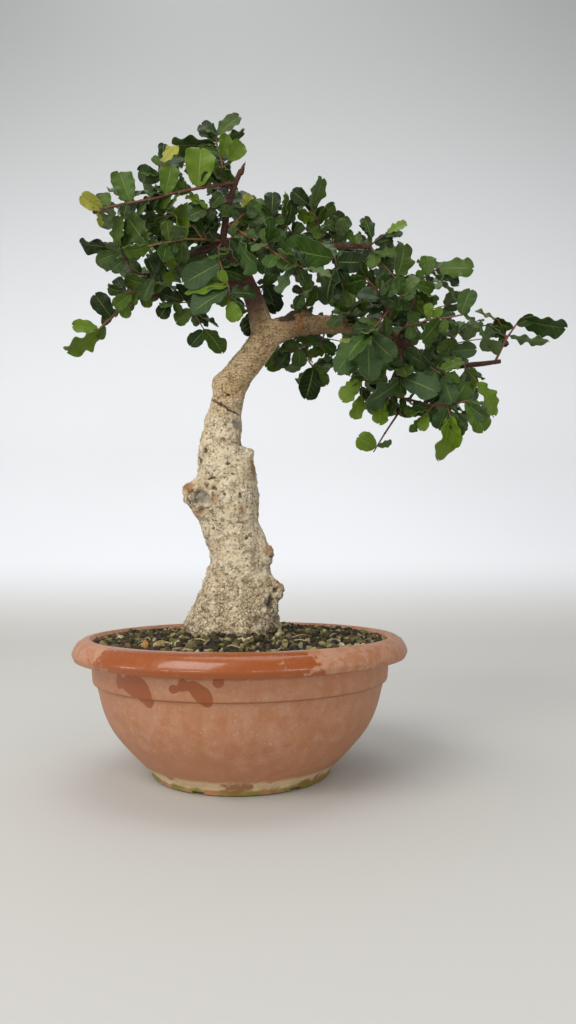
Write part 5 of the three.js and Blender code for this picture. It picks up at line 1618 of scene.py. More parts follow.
@dataclass(frozen=True)
class BarkFinish:
    """Pale corky bark with brown speckles, rust stains and red-brown limbs; painted shade in its
    hollows, holes and grooves, and painted light on its crests.
    """

    pale: Row = srgb(214, 200, 171)
    mid: Row = srgb(184, 162, 124)
    tan: Row = srgb(188, 154, 106)
    crack: Row = srgb(100, 74, 42)
    speck: Row = srgb(110, 82, 48)
    rust: Row = srgb(140, 90, 42)
    scar: Row = srgb(128, 122, 114)
    # Painted shade in the holes, the grooves and the fork
    hole: Row = srgb(30, 23, 15)
    limb: Row = srgb(136, 108, 76)
    young: Row = srgb(70, 40, 34)
    umber: Row = srgb(122, 90, 54)
    stain: Row = srgb(166, 128, 78)
    fissure: Row = srgb(118, 84, 46)
    # Painted light on the crests of the relief
    crest_light: Row = srgb(232, 218, 190)
    limb_dark: Row = srgb(74, 54, 38)
    young_light: Row = srgb(104, 74, 56)

    def make(self) -> bpy.types.Material:
        """Make the finish. The tint holds hole, rust and scar, and in alpha the height.

        Returns:
            The material.
        """
        graph = Graph("corky_bark")
        hole, rust, scar = graph.attribute("tint").parts()
        height = graph.attribute("tint", "Alpha")
        limb, young, smooth = graph.attribute("age").parts()
        spot = graph.place()
        ground = graph.attribute("age", "Alpha")
        wide = graph.noise(spot, 22.0, 4.0)
        grain = graph.noise(spot, 2.4, 5.0, 0.65)
        fine = graph.noise(spot, 0.9, 3.0, 0.6)
        cells = graph.cells(spot, 3.4)
        chance = graph.cells(spot, 3.4, out="Color").parts()[0]
        speck = cells.rise(0.34, 0.16) * chance.rise(0.52, 0.6)
        z = spot.parts()[2]
        lines = ((z * 2.3 + graph.noise(spot, 9.0, 3.0) * 22).sine()).rise(0.2, 1.0)
        warp = graph.node("VectorMath", {"operation": "MULTIPLY_ADD"}, {
            0: graph.noise(spot, 3.0, 3.0, out="Color"), 1: (3.0, 3.0, 3.0), 2: spot})
        net = graph.cells(warp, 2.9, "DISTANCE_TO_EDGE")
        fissure = net.rise(0.13, 0.02) * (graph.noise(spot, 7.0, 4.0).rise(0.46, 0.64)
                                          + ground * 0.3).rise(0, 1)
        stain = graph.noise(graph.stretch(warp, 0.8, 0.8, 1.3), 9.0, 5.0, 0.66)
        base = graph.layered(
            self.pale, (wide.rise(0.4, 0.7) * 0.55, self.mid),
            (smooth * (0.5 + 0.4 * wide), self.tan),
            (grain.rise(0.49, 0.64) * 0.58, self.umber),
            (stain.rise(0.53, 0.68) * 0.55 * (1 - smooth), self.stain),
            (fissure * 0.62, self.fissure), (lines * smooth * 0.32, self.crack),
            (speck * 0.75 * (1 - limb), self.speck),
            # Painted shade in the hollows of the relief, then painted light on its crests
            (height.rise(0.46, 0.1) * (0.8 - 0.25 * ground), self.fissure),
            (height.rise(0.62, 0.9) * 0.5 * (1 - limb), self.crest_light),
            (limb * (0.66 + 0.3 * wide), self.limb),
            (limb * grain.rise(0.5, 0.66) * 0.6, self.limb_dark),
            (limb * fine.rise(0.52, 0.7) * 0.45, self.mid), (young * 0.88, self.young),
            (young * fine.rise(0.5, 0.7) * 0.4, self.young_light),
            (rust * (0.45 + 0.5 * grain), self.rust), (scar * (0.7 + 0.3 * fine), self.scar),
            # Painted shade: holes, grooves and the fork painted near black
            (hole.rise(0.15, 0.8) * (0.6 + 0.35 * grain), self.hole))
        relief = graph.bump(fine + 0.5 * grain, 0.45)
        relief = graph.bump(grain * 1.2 - speck * 0.6 - fissure + lines * smooth * 0.4, 0.9,
                            relief)
        return graph.close(base, 0.78 + 0.15 * grain - 0.1 * scar, relief,
                           Specular_IOR_Level=0.3)


@dataclass
class Trunk:
    """The trunk with its limbs, stub and burls, in one remeshed skin."""

    voxel: float = 1.12
    rings: int = 150
    sides: int = 56
    stub_share: float = 0.66
    fork: Row = (268.0, 331.0, 2.0)
    reach: float = 400.0
    noise_seed: int = 11
    limb_down: Row = (520.0, 480.0)
    calm_down: Row = (440.0, 372.0)
    flare_down: Row = (545.0, 600.0)
    splinters: tuple[Row, ...] = ((-1.1, 0.3, 7.0, 1.2), (0.6, -0.6, 10.5, 1.3),
                                  (1.3, 0.8, 5.0, 1.1))

    def skin(self) -> bpy.types.Object:
        """Join the trunk's and the limbs' tubes and remesh them into one skin.

        Returns:
            The skin's object.
        """
        form = Form("bark")
        bearings = 2 * np.pi * np.arange(self.sides) / self.sides
        axis = smooth_points([VIEW.place(row) for row in TRUNK_AXIS], self.rings)
        radii = [trunk_radius(i / self.rings, bearings) for i in range(len(axis))]
        blank = (0.0, 0.0, 0.0, 0.5)
        form.tube(axis, radii, self.sides, blank)
        for name, rows in LIMBS.items():
            points = [VIEW.place(row) for row in rows]
            slim = self.stub_share if name == "stub" else 1.0
            count = 8 * (len(rows) - 1)
            girths = [slim * float(np.interp(i / 8, range(len(rows)), [row[3] for row in rows]))
                      for i in range(count + 1)]
            form.tube(smooth_points(points, count), girths, 20, blank)
        at = Vector(VIEW.place(FORK_LUMP["at"]))
        shape = Matrix.Translation(at) @ Matrix.Diagonal((*FORK_LUMP["size"], 1.0))
        bmesh.ops.create_icosphere(form.mesh, subdivisions=4, radius=1.0, matrix=shape)
        ring = [VIEW.place(FORK_RING["at"]), VIEW.place(FORK_RING["to"])]
        points = [ring[0] + (ring[1] - ring[0]) * part for part in (0, 0.15, 0.5, 0.85, 1)]
        form.tube(points, [FORK_RING["radius"] * s for s in (0.9, 0.97, 1, 0.97, 0.9)], 24, blank)
        self.ragged_top(form)
        form.mesh.transform(Matrix.Scale(MM, 4))
        rough = linked("bark_raw", form.mesh)
        remesh = rough.modifiers.new("skin", "REMESH")
        remesh.mode, remesh.voxel_size = "VOXEL", self.voxel * MM
        return shaped(rough, "bark")

    def ragged_top(self, form: Form) -> None:
        """Add the splinters of the broken stub.

        Args:
            form: The trunk in the making.
        """
        top = VIEW.place(LIMBS["stub"][-1][:3])
        for dx, dy, rise, girth in self.splinters:
            foot = top + np.array((dx, dy, -4.0))
            tip = foot + np.array((0.35 * rise, 0.0, rise + 2.0))
            points = [foot + (tip - foot) * part for part in (0, 0.4, 0.8, 1)]
            form.tube(points, [girth, girth, 0.75 * girth, 0.35 * girth], 8, (0, 0, 0, 0.5))

    def relief(self, spots: Point, near_ground: Point, calm: Point) -> tuple[Point, Point]:
        """Give the bark's lumps and its finer corky relief at each vertex.

        Args:
            spots: The vertices in millimetres.
            near_ground: Share of coral-like warts at each.
            calm: Share of smooth bark at each.

        Returns:
            Two heights in millimetres.
        """
        lumpy, corky = np.empty(len(spots)), np.empty(len(spots))
        for i, spot in enumerate(spots):
            here = Vector(spot)
            warped = here + 1.6 * noise.noise_vector(here / 4.0)
            lumps = noise.noise(here / 14.0)
            cork = noise.turbulence(here / 7.0, 3, True)
            near, next_near = noise.voronoi(warped / 4.6)[0][:2]
            crevice = min(1.0, (next_near - near) / 0.24) - 1
            fold = noise.noise(Vector((here.x / 22, here.y / 22, here.z / 5.0)))
            low = near_ground[i]
            lumpy[i] = ((1 - 0.65 * calm[i]) * (1.6 * lumps + 1.7 * (cork - 0.4) + 0.9 * fold)
                        + 1.6 * low * noise.noise(warped / 6.0))
            corky[i] = (crevice * (0.4 + 0.7 * low) * (1 - 0.5 * calm[i])
                        + 0.35 * noise.noise(here / 1.8))
        return lumpy, corky

    def ages(self, spots: Point, down: Point, beyond: Point) -> Point:
        """Give how old and how smooth the bark is.

        Args:
            spots: The vertices in millimetres.
            down: How far down each is seen.
            beyond: How far each is from the fork.

        Returns:
            A row for each vertex: shares of limb, young, smooth and ground bark.
        """
        fork = VIEW.place(self.fork)
        above = smooth_step(fork[2] - 14, fork[2] + 4, spots[:, 2])
        leftwards = smooth_step(2, -8, spots[:, 0] - fork[0])
        above = np.maximum(above, smooth_step(14, 26, spots[:, 0] - fork[0])
                           * smooth_step(*self.limb_down, down))
        limb = smooth_step(4, 26, beyond) * above
        young = above * np.maximum(smooth_step(80, 150, beyond),
                                   leftwards * smooth_step(6, 34, beyond))
        calm = np.maximum(smooth_step(*self.calm_down, down), limb)
        return np.stack([limb, young, calm, smooth_step(*self.flare_down, down)], axis=1)

    def mark(self, spots: Point, facing: Point, reached: Point, height: Point) -> Point:
        """Put the marks on the skin.

        Args:
            spots: The vertices in millimetres.
            facing: How much each is turned to the camera.
            reached: Whether each is near enough to the fork.
            height: The relief at each, which is changed.

        Returns:
            A row for each vertex: shares of hole, rust and scar, and a 0.
        """
        across, down = VIEW.seen_at(spots)
        shift = 2.6 * np.array([noise.noise_vector(Vector(spot) / 5.0) for spot in spots]).T
        marks = np.zeros((len(spots), 4))
        for mark in BLEMISHES:
            aside = across + shift[0] - mark.across
            far = np.hypot(aside / mark.wide,
                           (down + shift[1] - mark.down - mark.slope * aside) / mark.high)
            share = (mark.sink != 0) * np.exp(-far**4) * facing * reached
            rim = np.exp(-((far - 1.15) / 0.28) ** 2) * facing
            height += mark.ring * 0.6 * rim - mark.sink * share
            channel = mark.kind.value
            marks[:, channel] = np.maximum(marks[:, channel], share)
            groove = (mark.ring > 3) * np.exp(-((far - 0.84) / 0.12) ** 2) * facing
            height -= 1.2 * groove
            # The grooves go into the hole channel as painted shade
            marks[:, 0] = np.maximum(marks[:, 0], 0.7 * groove * smooth_step(-0.5, 0.4, shift[2]))
        return marks

    def build(self) -> None:
        """Shape the skin's relief and marks, and dress it."""
        noise.seed_set(self.noise_seed)
        piece = self.skin()
        data = piece.data
        flat = np.empty(3 * len(data.vertices))
        data.vertices.foreach_get("co", flat)
        spots = flat.reshape(-1, 3) / MM
        data.vertex_normals.foreach_get("vector", flat)
        normals = flat.reshape(-1, 3)
        beyond = np.linalg.norm(spots - VIEW.place(self.fork), axis=1)
        age = self.ages(spots, VIEW.seen_at(spots)[1], beyond)
        _, young, calm, ground = age.T
        knobs = np.exp(-(np.linalg.norm(spots - VIEW.place(FORK_LUMP["at"]), axis=1) / 13) ** 4)
        lumpy, corky = self.relief(spots, np.maximum(ground, knobs), calm * (1 - knobs))
        height = (lumpy + corky) * (1 - 0.75 * young)
        marks = self.mark(spots, smooth_step(0.0, 0.35, -normals[:, 1]), beyond < self.reach,
                          height)
        # The alpha keeps the corky relief, which the finish paints as shade in the hollows and
        # light on the crests
        marks[:, 3] = np.clip(0.7 + corky / 1.7, 0, 1)
        spots = spots + normals * height[:, None]
        data.vertices.foreach_set("co", (spots * MM).ravel())
        for name, rows in (("tint", marks), ("age", age)):
            data.attributes.new(name, "FLOAT_COLOR", "POINT").data.foreach_set(
                "color", rows.ravel())
        data.shade_smooth()
        data.update()
        enlist(piece, [BarkFinish().make()], Slot.BARK, ["trunk"])


@dataclass(frozen=True)
class BowlFinish:
    """Terracotta-coloured plastic: chalky body, wet glossy rim, crust and algae at the foot."""

    body: Row = srgb(168, 114, 80)
    deep: Row = srgb(156, 98, 62)
    chalk: Row = srgb(192, 154, 128)
    wet: Row = srgb(142, 70, 16)
    drip: Row = srgb(142, 76, 38)
    crust: Row = srgb(218, 200, 160)
    algae: Row = srgb(112, 116, 30)
    rim_foot: float = 103.8
    band_foot: float = 84.0
    dust: Row = srgb(204, 168, 142)
    pit: Row = srgb(104, 62, 38)
    fleck: Row = srgb(206, 180, 156)
    # Painted shade along the foot of the band and under the rolled rim
    crease_shade: Row = srgb(112, 62, 38)
    shine: Row = srgb(178, 106, 54)
    dry: Row = srgb(184, 144, 118)
    skirt: Row = srgb(186, 126, 88)
    rust: Row = srgb(148, 84, 50)
    rim_radius: float = 150.0
    rim_down: float = 662.0
    wet_across: Row = (94.0, 312.0)
    drip_radius: float = 131.0
    drip_depth: float = -128.0
    # Wet blots below the rim: across and down as seen, half wide, half high
    drips: tuple[Row, ...] = read_spots(
        "121 681 6 9, 130 684 9 10, 140 688 11 13, 146 698 9 11.5, 174 689 5.5 5, "
        "183 684 4.5 7, 194 686 7 6, 200 693 8 7, 206 700 7.5 9.5, 219 682 6.5 6")

    def wet_share(self, graph: Graph, bearing: Value, spot: Value) -> Value:
        """Give how wet the rim is.

        Args:
            graph: The material's nodes.
            bearing: Bearing round the bowl.
            spot: The place in millimetres.

        Returns:
            A share of 0 to 1.
        """
        edge = graph.noise(spot, 16.0, 5.0, 0.62) - 0.5
        start, end = (VIEW.on_round(across, self.rim_down, self.rim_radius)[0]
                      for across in self.wet_across)
        rise = (bearing + edge * 0.9).rise(start - 0.02, start + 0.05)
        return rise * (bearing + edge * 1.1).rise(end + 0.05, end - 0.03)

    def drip_share(self, graph: Graph, bearing: Value, z: Value, spot: Value) -> Value:
        """Give the share of the wet runs below the rim.

        Args:
            graph: The material's nodes.
            bearing: Bearing round the bowl.
            z: Height in millimetres.
            spot: The place in millimetres.

        Returns:
            A share of 0 to 1.
        """
        found = graph.noise(spot, 6.0, 4.0) * 0.16 - 0.08
        scale = VIEW.unit_size(self.drip_depth)
        for across, down, half_wide, half_high in self.drips:
            where, height = VIEW.on_round(across, down, self.drip_radius)
            wide = (bearing - where) * (self.drip_radius / (half_wide * scale))
            high = (z - height) / (half_high * scale)
            found = found + (1 + 1.5 * (wide * wide + high * high)) ** -2
        return found.rise(0.2, 0.25) * (z - self.rim_foot).rise(0.6, -0.4)

    def make(self) -> bpy.types.Material:
        """Make the finish.

        Returns:
            The material.
        """
        graph = Graph("terracotta_plastic")
        spot = graph.place()
        x, y, z = spot.parts()
        bearing = y.angle(x)
        rim = z.rise(self.rim_foot - 0.3, self.rim_foot + 0.3)
        wide = graph.noise(spot, 45.0, 4.0, 0.6)
        patch = graph.noise(spot, 11.0, 5.0, 0.65)
        fine = graph.noise(spot, 1.3, 4.0, 0.7)
        runs = graph.noise(graph.stretch(spot, 1.0, 1.0, 0.22), 9.0, 4.0, 0.6)
        wet = self.wet_share(graph, bearing, spot) * rim
        drip = self.drip_share(graph, bearing, z, spot)
        specks = graph.cells(spot, 5.0).rise(0.12, 0.04) * graph.cells(
            spot, 5.0, out="Color").parts()[1].rise(0.6, 0.66)
        haze = (patch * 0.55 + wide * 0.6 + runs * 0.35).rise(0.58, 1.0)
        dust = graph.noise(spot, 3.4, 6.0, 0.75).rise(0.54, 0.7) * (0.2 + 0.5 * haze)
        pits = graph.cells(spot, 3.1).rise(0.16, 0.06) * graph.cells(
            spot, 3.1, out="Color").parts()[0].rise(0.7, 0.76)
        # Painted shade: dark lines along the foot of the band and under the rolled rim
        crease_shade = abs(z - self.band_foot).rise(1.3, 0.2) * 0.55
        crease_shade = crease_shade.most(abs(z - self.rim_foot - 0.4).rise(1.2, 0.2) * 0.75)
        low = z + patch * 7 - 3.5
        crust = low.rise(16.0, 11.0) * low.rise(3.5, 6.5)
        rusty = crust.most(low.rise(7.0, 5.0)) * graph.noise(spot, 24.0).rise(0.56, 0.62)
        base = graph.layered(
            self.body, (wide.rise(0.3, 0.7), self.deep), (haze * 0.48, self.chalk),
            (fine.rise(0.55, 0.8) * 0.25, self.chalk), (dust, self.dust),
            (pits * 0.4, self.pit), (specks * 0.55, self.fleck), (crease_shade, self.crease_shade),
            (drip, self.drip), (rim * 0.35, self.deep), (wet, self.wet),
            (wet * patch.rise(0.55, 0.75) * 0.3, self.shine),
            (rim * (1 - wet) * patch.rise(0.46, 0.54) * 0.4, self.dry),
            (low.rise(50.0, 24.0) * 0.3, self.skirt), (crust * (0.3 + 0.9 * patch), self.crust),
            (rusty * 0.8, self.rust),
            (low.rise(7.5, 3.5) * graph.noise(spot, 18.0).rise(0.34, 0.6) * 0.9, self.algae))
        rough = 0.42 + 0.22 * haze + 0.1 * fine + crust * 0.3
        rough = rough * (1 - 0.5 * wet) * (1 - 0.4 * drip)
        relief = graph.bump(fine * (1 - wet), 0.12)
        relief = graph.bump(patch + wide, 0.5, relief)
        return graph.close(base, rough, relief, Specular_IOR_Level=0.38,
                           Coat_Weight=wet * 0.45 + drip * 0.2, Coat_Roughness=0.03)


@dataclass
class Bowl:
    """The bowl: rolled rim, band, step, round body, flat foot and drain holes."""

    foot_radius: float = 76.5
    floor_height: float = 7.0
    drain_count: int = 6
    drain_ring: float = 45.0
    drain_radius: float = 6.0
    drain_bearing: float = -53.0
    groove_width: float = 11.0
    groove_depth: float = 3.0
    steps: int = 160
    crease_degrees: float = 38.0
    body: tuple[Row, ...] = ((80.5, 6), (92, 17), (104, 30), (114.5, 43.5), (122, 59),
                             (127.8, 80))
    step: tuple[Row, ...] = ((128.6, 82.6), (129.4, 83.4), (131.2, 84), (131.9, 85.2),
                             (132.4, 90))
    rim: tuple[Row, ...] = ((133, 103), (148, 104.5), (150, 109), (148.3, 113.6),
                            (145.4, 118.2), (140.6, 121.2), (135, 122))
    inside: tuple[Row, ...] = ((132.3, 119.3), (128, 88), (121, 66), (108, 40), (84, 15))

    def profile(self) -> list[Row]:
        """Give the outline from the middle of the foot round to the middle of the floor.

        Returns:
            Radius and height of each point.
        """
        body, inside = ([(point[0], point[2]) for point in smooth_points(
            [np.array((radius, 0.0, height)) for radius, height in rows], count)]
            for rows, count in ((self.body, 24), (self.inside, 16)))
        return [(0.0, 0.0), (self.foot_radius + 0.8, 0.0), (self.foot_radius + 3.2, 1.4), *body,
                *self.step, *self.rim, *inside, (0.0, self.floor_height)]

    def shell(self) -> bmesh.types.BMesh:
        """Spin the outline and close it.

        Returns:
            The shell.
        """
        mesh = bmesh.new()
        verts = [mesh.verts.new((radius, 0.0, height)) for radius, height in self.profile()]
        for pair in zip(verts, verts[1:]):
            mesh.edges.new(pair)
        corners = [vert for vert in verts if 133.5 > vert.co.x > 132.5 and vert.co.z > 100
                   or vert.co.x > 149.5]
        bmesh.ops.bevel(mesh, geom=corners, offset=1.2, segments=3, affect="VERTICES",
                        profile=0.5, material=-1)
        bmesh.ops.spin(mesh, geom=mesh.verts[:] + mesh.edges[:], axis=(0, 0, 1), cent=(0, 0, 0),
                       angle=2 * math.pi, steps=self.steps, use_merge=True)
        bmesh.ops.remove_doubles(mesh, verts=mesh.verts[:], dist=0.01)
        bmesh.ops.recalc_face_normals(mesh, faces=mesh.faces[:])
        return mesh

    def cutter(self) -> bpy.types.Object:
        """Make the drain holes and their grooves as one tool.

        Returns:
            The tool.
        """
        mesh = bmesh.new()
        for i in range(self.drain_count):
            bearing = math.radians(self.drain_bearing + 360 / self.drain_count * i)
            turn = Matrix.Rotation(bearing, 4, "Z")
            hole = turn @ Matrix.Translation((self.drain_ring, 0, self.floor_height / 2))
            bmesh.ops.create_cone(mesh, cap_ends=True, segments=24, radius1=self.drain_radius,
                                  radius2=self.drain_radius, depth=3 * self.floor_height,
                                  matrix=hole)
            size = Matrix.Diagonal((2 * self.drain_ring, self.groove_width,
                                    2 * self.groove_depth, 1))
            bmesh.ops.create_cube(mesh, size=1.0, matrix=turn @ Matrix.Translation(
                (2 * self.drain_ring, 0, 0)) @ size)
        return linked("drain_tool", mesh)

    def build(self) -> None:
        """Cut the drains out of the shell and dress it."""
        plain = linked("bowl_plain", self.shell())
        tool = self.cutter()
        cut = plain.modifiers.new("drains", "BOOLEAN")
        cut.operation, cut.object, cut.solver = "DIFFERENCE", tool, "EXACT"
        cut.use_self = True
        piece = shaped(plain, "bowl_moulded")
        bpy.data.objects.remove(tool)
        piece.data.transform(Matrix.Scale(MM, 4))
        piece.data.set_sharp_from_angle(angle=math.radians(self.crease_degrees))
        for face in piece.data.polygons:
            face.use_smooth = True
        enlist(piece, [BowlFinish().make()], Slot.BOWL, ["bowl"])


@dataclass(frozen=True)
class SoilFinish:
    """Damp dark granules, coloured by their tint."""

    dark: Row = srgb(52, 46, 30)
    damp: Row = srgb(34, 29, 18)
    sand: Row = srgb(96, 84, 54)
    moss: Row = srgb(88, 92, 34)

    def ground(self) -> bpy.types.Material:
        """Make the finish of the soil below the grains.

        Returns:
            The material.
        """
        graph = Graph("damp_soil")
        spot = graph.place()
        crumb = graph.noise(spot, 3.0, 5.0, 0.7)
        base = graph.layered(
            self.damp, (crumb.rise(0.4, 0.7), self.dark),
            (graph.cells(spot, 4.0).rise(0.3, 0.1) * 0.3, self.sand))
        return graph.close(base, 0.95 - 0.1 * crumb, graph.bump(crumb, 1.2))

    def grains(self) -> bpy.types.Material:
        """Make the finish of the grains.

        Returns:
            The material.
        """
        graph = Graph("soil_grains")
        colour = graph.attribute("tint")
        spot = graph.place()
        crumb = graph.noise(spot, 1.1, 4.0, 0.7)
        base = graph.layered(
            colour, (crumb.rise(0.4, 0.75) * 0.6, self.dark),
            (graph.noise(spot, 14.0).rise(0.56, 0.7) * 0.3, self.moss))
        return graph.close(base, 0.8 + 0.15 * crumb, graph.bump(crumb, 0.5))


@dataclass
class Soil:
    """The mounded substrate: the solid below, and grains, lumps and straws on it."""

    edge_height: float = 115.5
    mound: float = 10.0
    mound_radius: float = 132.3
    fall: float = 4.0
    mouth: float = 130.6
    heap: Row = (58.0, 34.0, 52.0, 4.5)
    count: int = 2100
    foot_count: int = 330
    foot_rise: float = 7.0
    foot_ring: Row = (33.0, 64.0)
    trunk_room: float = 36.0
    batch_size: int = 40
    palette: tuple[tuple[float, Row], ...] = (
        (0.42, srgb(40, 31, 18)), (0.21, srgb(80, 65, 36)), (0.15, srgb(114, 98, 54)),
        (0.09, srgb(164, 148, 96)), (0.07, srgb(108, 110, 38)), (0.06, srgb(196, 184, 142)),
    )
    lumps: tuple[tuple[float, float, float, Row], ...] = (
        (145, 636, 5.6, srgb(170, 120, 62)), (161, 633, 4.6, srgb(160, 128, 70)),
        (303, 641, 4.4, srgb(150, 140, 110)), (358, 634, 4.2, srgb(160, 148, 116)),
        (128, 640, 4.0, srgb(120, 90, 54)), (330, 636, 3.8, srgb(150, 128, 84)),
        (375, 632, 4.6, srgb(34, 22, 16)),
    )
    lump_depth: float = -70.0
    # Straws: across as seen, depth, length, bearing
    straw_rows: tuple[Row, ...] = read_spots(
        "188 -60 16 0.2, 172 -70 12 2.6, 204 -76 18 1.2, 292 -40 20 0.5, 308 -62 15 2.2, "
        "277 -72 12 1.5, 330 -20 14 0.9, 240 -92 13 2.9, 150 -40 12 1.9")
    straw_down: float = 640.0
    straw: Row = srgb(176, 160, 116)

    def height(self, x: float, y: float) -> float:
        """Give the height of the mound at a place.

        Args:
            x: Across.
            y: Back.

        Returns:
            The height.
        """
        foot = VIEW.place(TRUNK_AXIS[2])
        spread = math.hypot(x - foot[0], y - foot[1]) / self.mound_radius
        aside = math.hypot(x - self.heap[0], y - self.heap[1]) / self.heap[2]
        return (self.edge_height + self.mound * math.exp(-self.fall * spread * spread)
                + self.heap[3] * math.exp(-aside * aside))

    def pick(self, draws: Draws) -> Row:
        """Draw a grain's colour.

        Args:
            draws: Where it comes from.

        Returns:
            The colour.
        """
        chance = draws.between(0, 1)
        for share, colour in self.palette:
            chance -= share
            if chance < 0:
                break
        tone = draws.between(0.5, 1.05)
        return (*(tone * part for part in colour[:3]), 1.0)

    def grain(self, form: Form, at: Row, size: float, draws: Draws, colour: Row,
              rough: float = 0.5) -> None:
        """Shape one grain from a small sphere.

        Args:
            form: The piece.
            at: Its middle.
            size: Its radius.
            draws: Where its shape comes from.
            colour: Its colour.
            rough: How rough it is.
        """
        turn = Matrix.Rotation(draws.between(0, 6.28), 4, (draws.between(-1, 1),
                                                          draws.between(-1, 1), 0.6))
        squash = Matrix.Diagonal((1.0, draws.between(0.7, 1.0), draws.between(0.55, 0.85), 1.0))
        made = bmesh.ops.create_icosphere(form.mesh, subdivisions=1, radius=1.1)["verts"]
        seed = Vector((draws.between(0, 90), draws.between(0, 90), 0.0))
        for vert in made:
            vert.co *= 1 + rough * noise.noise(vert.co * 1.7 + seed) * 1.6
        shape = Matrix.Translation(at) @ turn @ squash @ Matrix.Scale(size, 4)
        bmesh.ops.transform(form.mesh, matrix=shape, verts=made)
        form.paint(made, colour)

    def scatter(self, form: Form, draws: Draws) -> None:
        """Scatter the grains over the mound, clear of the trunk.

        Args:
            form: The piece.
            draws: Where the places come from.
        """
        axis = VIEW.place(TRUNK_AXIS[2])
        golden = math.pi * (3 - math.sqrt(5))
        inner, outer = self.foot_ring
        batch = Form("grains")
        for i in range(self.count):
            radius = self.mouth * math.sqrt((i + 0.5) / self.count) + draws.between(-1.5, 1.5)
            radius = min(radius, self.mouth - 0.8)
            turn = i * golden + draws.between(-0.02, 0.02)
            x, y = radius * math.cos(turn), radius * math.sin(turn)
            if math.hypot(x - axis[0], y - axis[1]) < self.trunk_room:
                continue
            size = draws.between(1.8, 3.7) * (1.4 if draws.between(0, 1) > 0.82 else 1.0)
            z = self.height(x, y) + draws.between(-1.2, 2.0)
            self.grain(batch, (x, y, z), size, draws, self.pick(draws))
            if i % self.batch_size == self.batch_size - 1:
                form.merge(batch)
                batch = Form("grains")
        for i in range(self.foot_count):
            apart, turn = draws.between(*self.foot_ring), i * golden
            x, y = axis[0] + apart * math.cos(turn), axis[1] + apart * math.sin(turn)
            if math.hypot(x, y) < self.mouth - 2:
                z = self.height(x, y) + (self.foot_rise * (outer - apart) / (outer - inner)
                                         * draws.between(0, 1))
                self.grain(batch, (x, y, z), draws.between(2.0, 3.8), draws, self.pick(draws))
        form.merge(batch)

    def straws(self, form: Form, draws: Draws) -> None:
        """Lay pale curved straws and rootlets on the grains.

        Args:
            form: The piece.
            draws: Where the bends come from.
        """
        for across, depth, length, turn in self.straw_rows:
            foot = VIEW.place((across, self.straw_down, depth))
            curl = draws.between(-0.12, 0.12)
            points = []
            x, y = foot[0], foot[1]
            for k in range(9):
                points.append(np.array((x, y, self.height(x, y) + 3.4
                                        + 1.6 * math.sin(math.pi * k / 8))))
                x += length / 8 * math.cos(turn)
                y += length / 8 * math.sin(turn)
                turn += curl
            form.tube(points, [0.55] * 9, 6, self.straw)

    def build(self) -> None:
        """Dress the solid and add the grains."""
        finish = SoilFinish()
        solid = frame["nodes"]["soil"]
        solid.data.materials.clear()
        solid.data.materials.append(finish.ground())
        draws = Draws(90210)
        form = Form("soil_grains")
        self.scatter(form, draws)
        for across, down, size, colour in self.lumps:
            x, y, _ = VIEW.place((across, down, self.lump_depth))
            self.grain(form, (x, y, self.height(x, y) + 0.5 * size), size, draws, colour, 0.25)
        self.straws(form, draws)
        form.close([finish.grains()], Slot.SOIL, smooth=False)


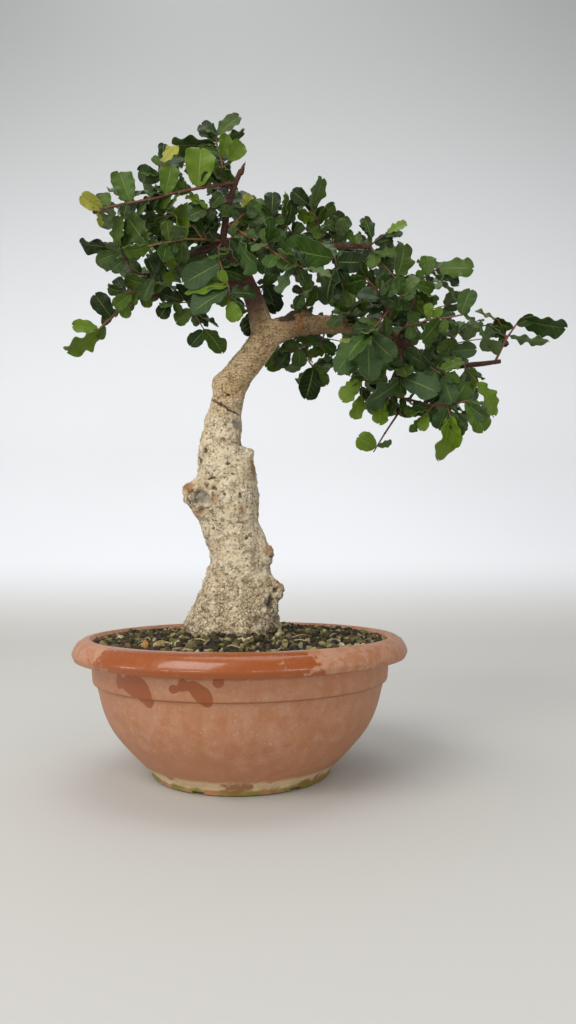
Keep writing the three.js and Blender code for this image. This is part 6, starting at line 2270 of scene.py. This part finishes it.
@dataclass
class Studio:
    """Plain pale floor and backdrop, soft light and the camera."""

    lens: float = 26.54
    floor_half: float = 2.4
    bend: float = 0.5
    wall: float = 1.5

    def backdrop(self) -> None:
        """Sweep a floor into a wall."""
        mesh = bmesh.new()
        rows = [(-3.0, 0.0), (self.wall - self.bend, 0.0)]
        rows += [(self.wall - self.bend + self.bend * math.sin(a), self.bend * (1 - math.cos(a)))
                 for a in np.linspace(0.1, math.pi / 2, 14)]
        rows.append((self.wall, 3.2))
        verts = [mesh.verts.new((-self.floor_half, y, z)) for y, z in rows]
        edges = [mesh.edges.new(pair) for pair in zip(verts, verts[1:])]
        side = bmesh.ops.extrude_edge_only(mesh, edges=edges)["geom"]
        moved = [part for part in side if isinstance(part, bmesh.types.BMVert)]
        bmesh.ops.translate(mesh, verts=moved, vec=(2 * self.floor_half, 0, 0))
        for face in mesh.faces:
            face.smooth = True
        sweep = linked("studio_sweep", mesh)
        graph = Graph("studio_paper")
        height = graph.place().parts()[2]
        # The paper is darker on the floor, palest on the lower wall and darker again high up the
        # wall, where the darkening is painted shade
        tone = graph.layered(
            srgb(192, 190, 185), (height.rise(0.0, 200.0), srgb(230, 232, 236)),
            (height.rise(500.0, 1900.0), srgb(166, 168, 168)))
        sweep.data.materials.append(graph.close(tone, 0.9))

    def lamp(self, name: str, at: Row, aim: Row, size: float, power: float, colour: Row,
             tall: float = 0.0) -> None:
        """Hang a soft lamp that looks at a point, square or with its own height.

        Args:
            name: Its name.
            at: Its place.
            aim: What it looks at.
            size: Its width.
            power: Its power.
            colour: Its colour.
            tall: Its height, if not square.
        """
        light = bpy.data.lights.new(name, "AREA")
        light.shape, light.size, light.energy, light.color = "SQUARE", size, power, colour[:3]
        if tall:
            light.shape, light.size_y = "RECTANGLE", tall
        lamp = bpy.data.objects.new(name, light)
        way = Vector(aim) - Vector(at)
        lamp.matrix_world = Matrix.Translation(at) @ way.to_track_quat("-Z", "Y").to_matrix(
            ).to_4x4()
        lamp.visible_camera = False
        bpy.context.scene.collection.objects.link(lamp)

    def build(self) -> None:
        """Set the camera, the lamps, the sky and the backdrop."""
        scene = bpy.context.scene
        camera = bpy.data.cameras.new("camera")
        camera.lens, camera.sensor_width, camera.sensor_fit = self.lens, 36.0, "AUTO"
        holder = bpy.data.objects.new("camera", camera)
        holder.matrix_world = (Matrix.Translation([c * MM for c in VIEW.at])
                               @ Matrix.Rotation(math.pi / 2 + VIEW.pitch, 4, "X")
                               @ Matrix.Rotation(VIEW.roll, 4, "Z"))
        scene.collection.objects.link(holder)
        scene.camera = holder
        self.lamp("key", (-1.1, -1.5, 1.9), (0, 0, 0.3), 1.5, 36.0, (1.0, 0.98, 0.95))
        for bearing, width, power in ((-72, 0.5, 6.0), (-45, 0.22, 3.0), (-26, 0.8, 8.0),
                                      (14, 0.3, 3.0), (37, 0.7, 8.0)):
            turn = math.radians(bearing)
            self.lamp(f"pane_{bearing + 90}", (2.4 * math.sin(turn), -2.4 * math.cos(turn), 0.6),
                      (0, 0, 0.12), width, power, (1.0, 1.0, 1.0), 0.18)
        self.lamp("top", (0.1, 0.3, 2.4), (0, 0, 0.2), 1.8, 22.0, (1.0, 1.0, 1.0))
        world = bpy.data.worlds.new("studio")
        world.use_nodes = True
        sky = world.node_tree.nodes["Background"]
        sky.inputs["Color"].default_value = srgb(230, 232, 233)
        sky.inputs["Strength"].default_value = 0.55
        scene.world = world
        scene.view_settings.view_transform = "Standard"
        self.backdrop()


def main() -> None:
    """Build the pieces in order."""
    logging.basicConfig(level=logging.INFO, format="%(name)s: %(message)s", force=True)
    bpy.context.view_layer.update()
    Studio().build()
    Bowl().build()
    Soil().build()
    Trunk().build()
    sprigs = Growth().grow()
    log.info("%d leaves grown", sum(len(sprig.leaves) for sprig in sprigs))
    Foliage().build(sprigs)


if __name__ == "__main__":
    main()
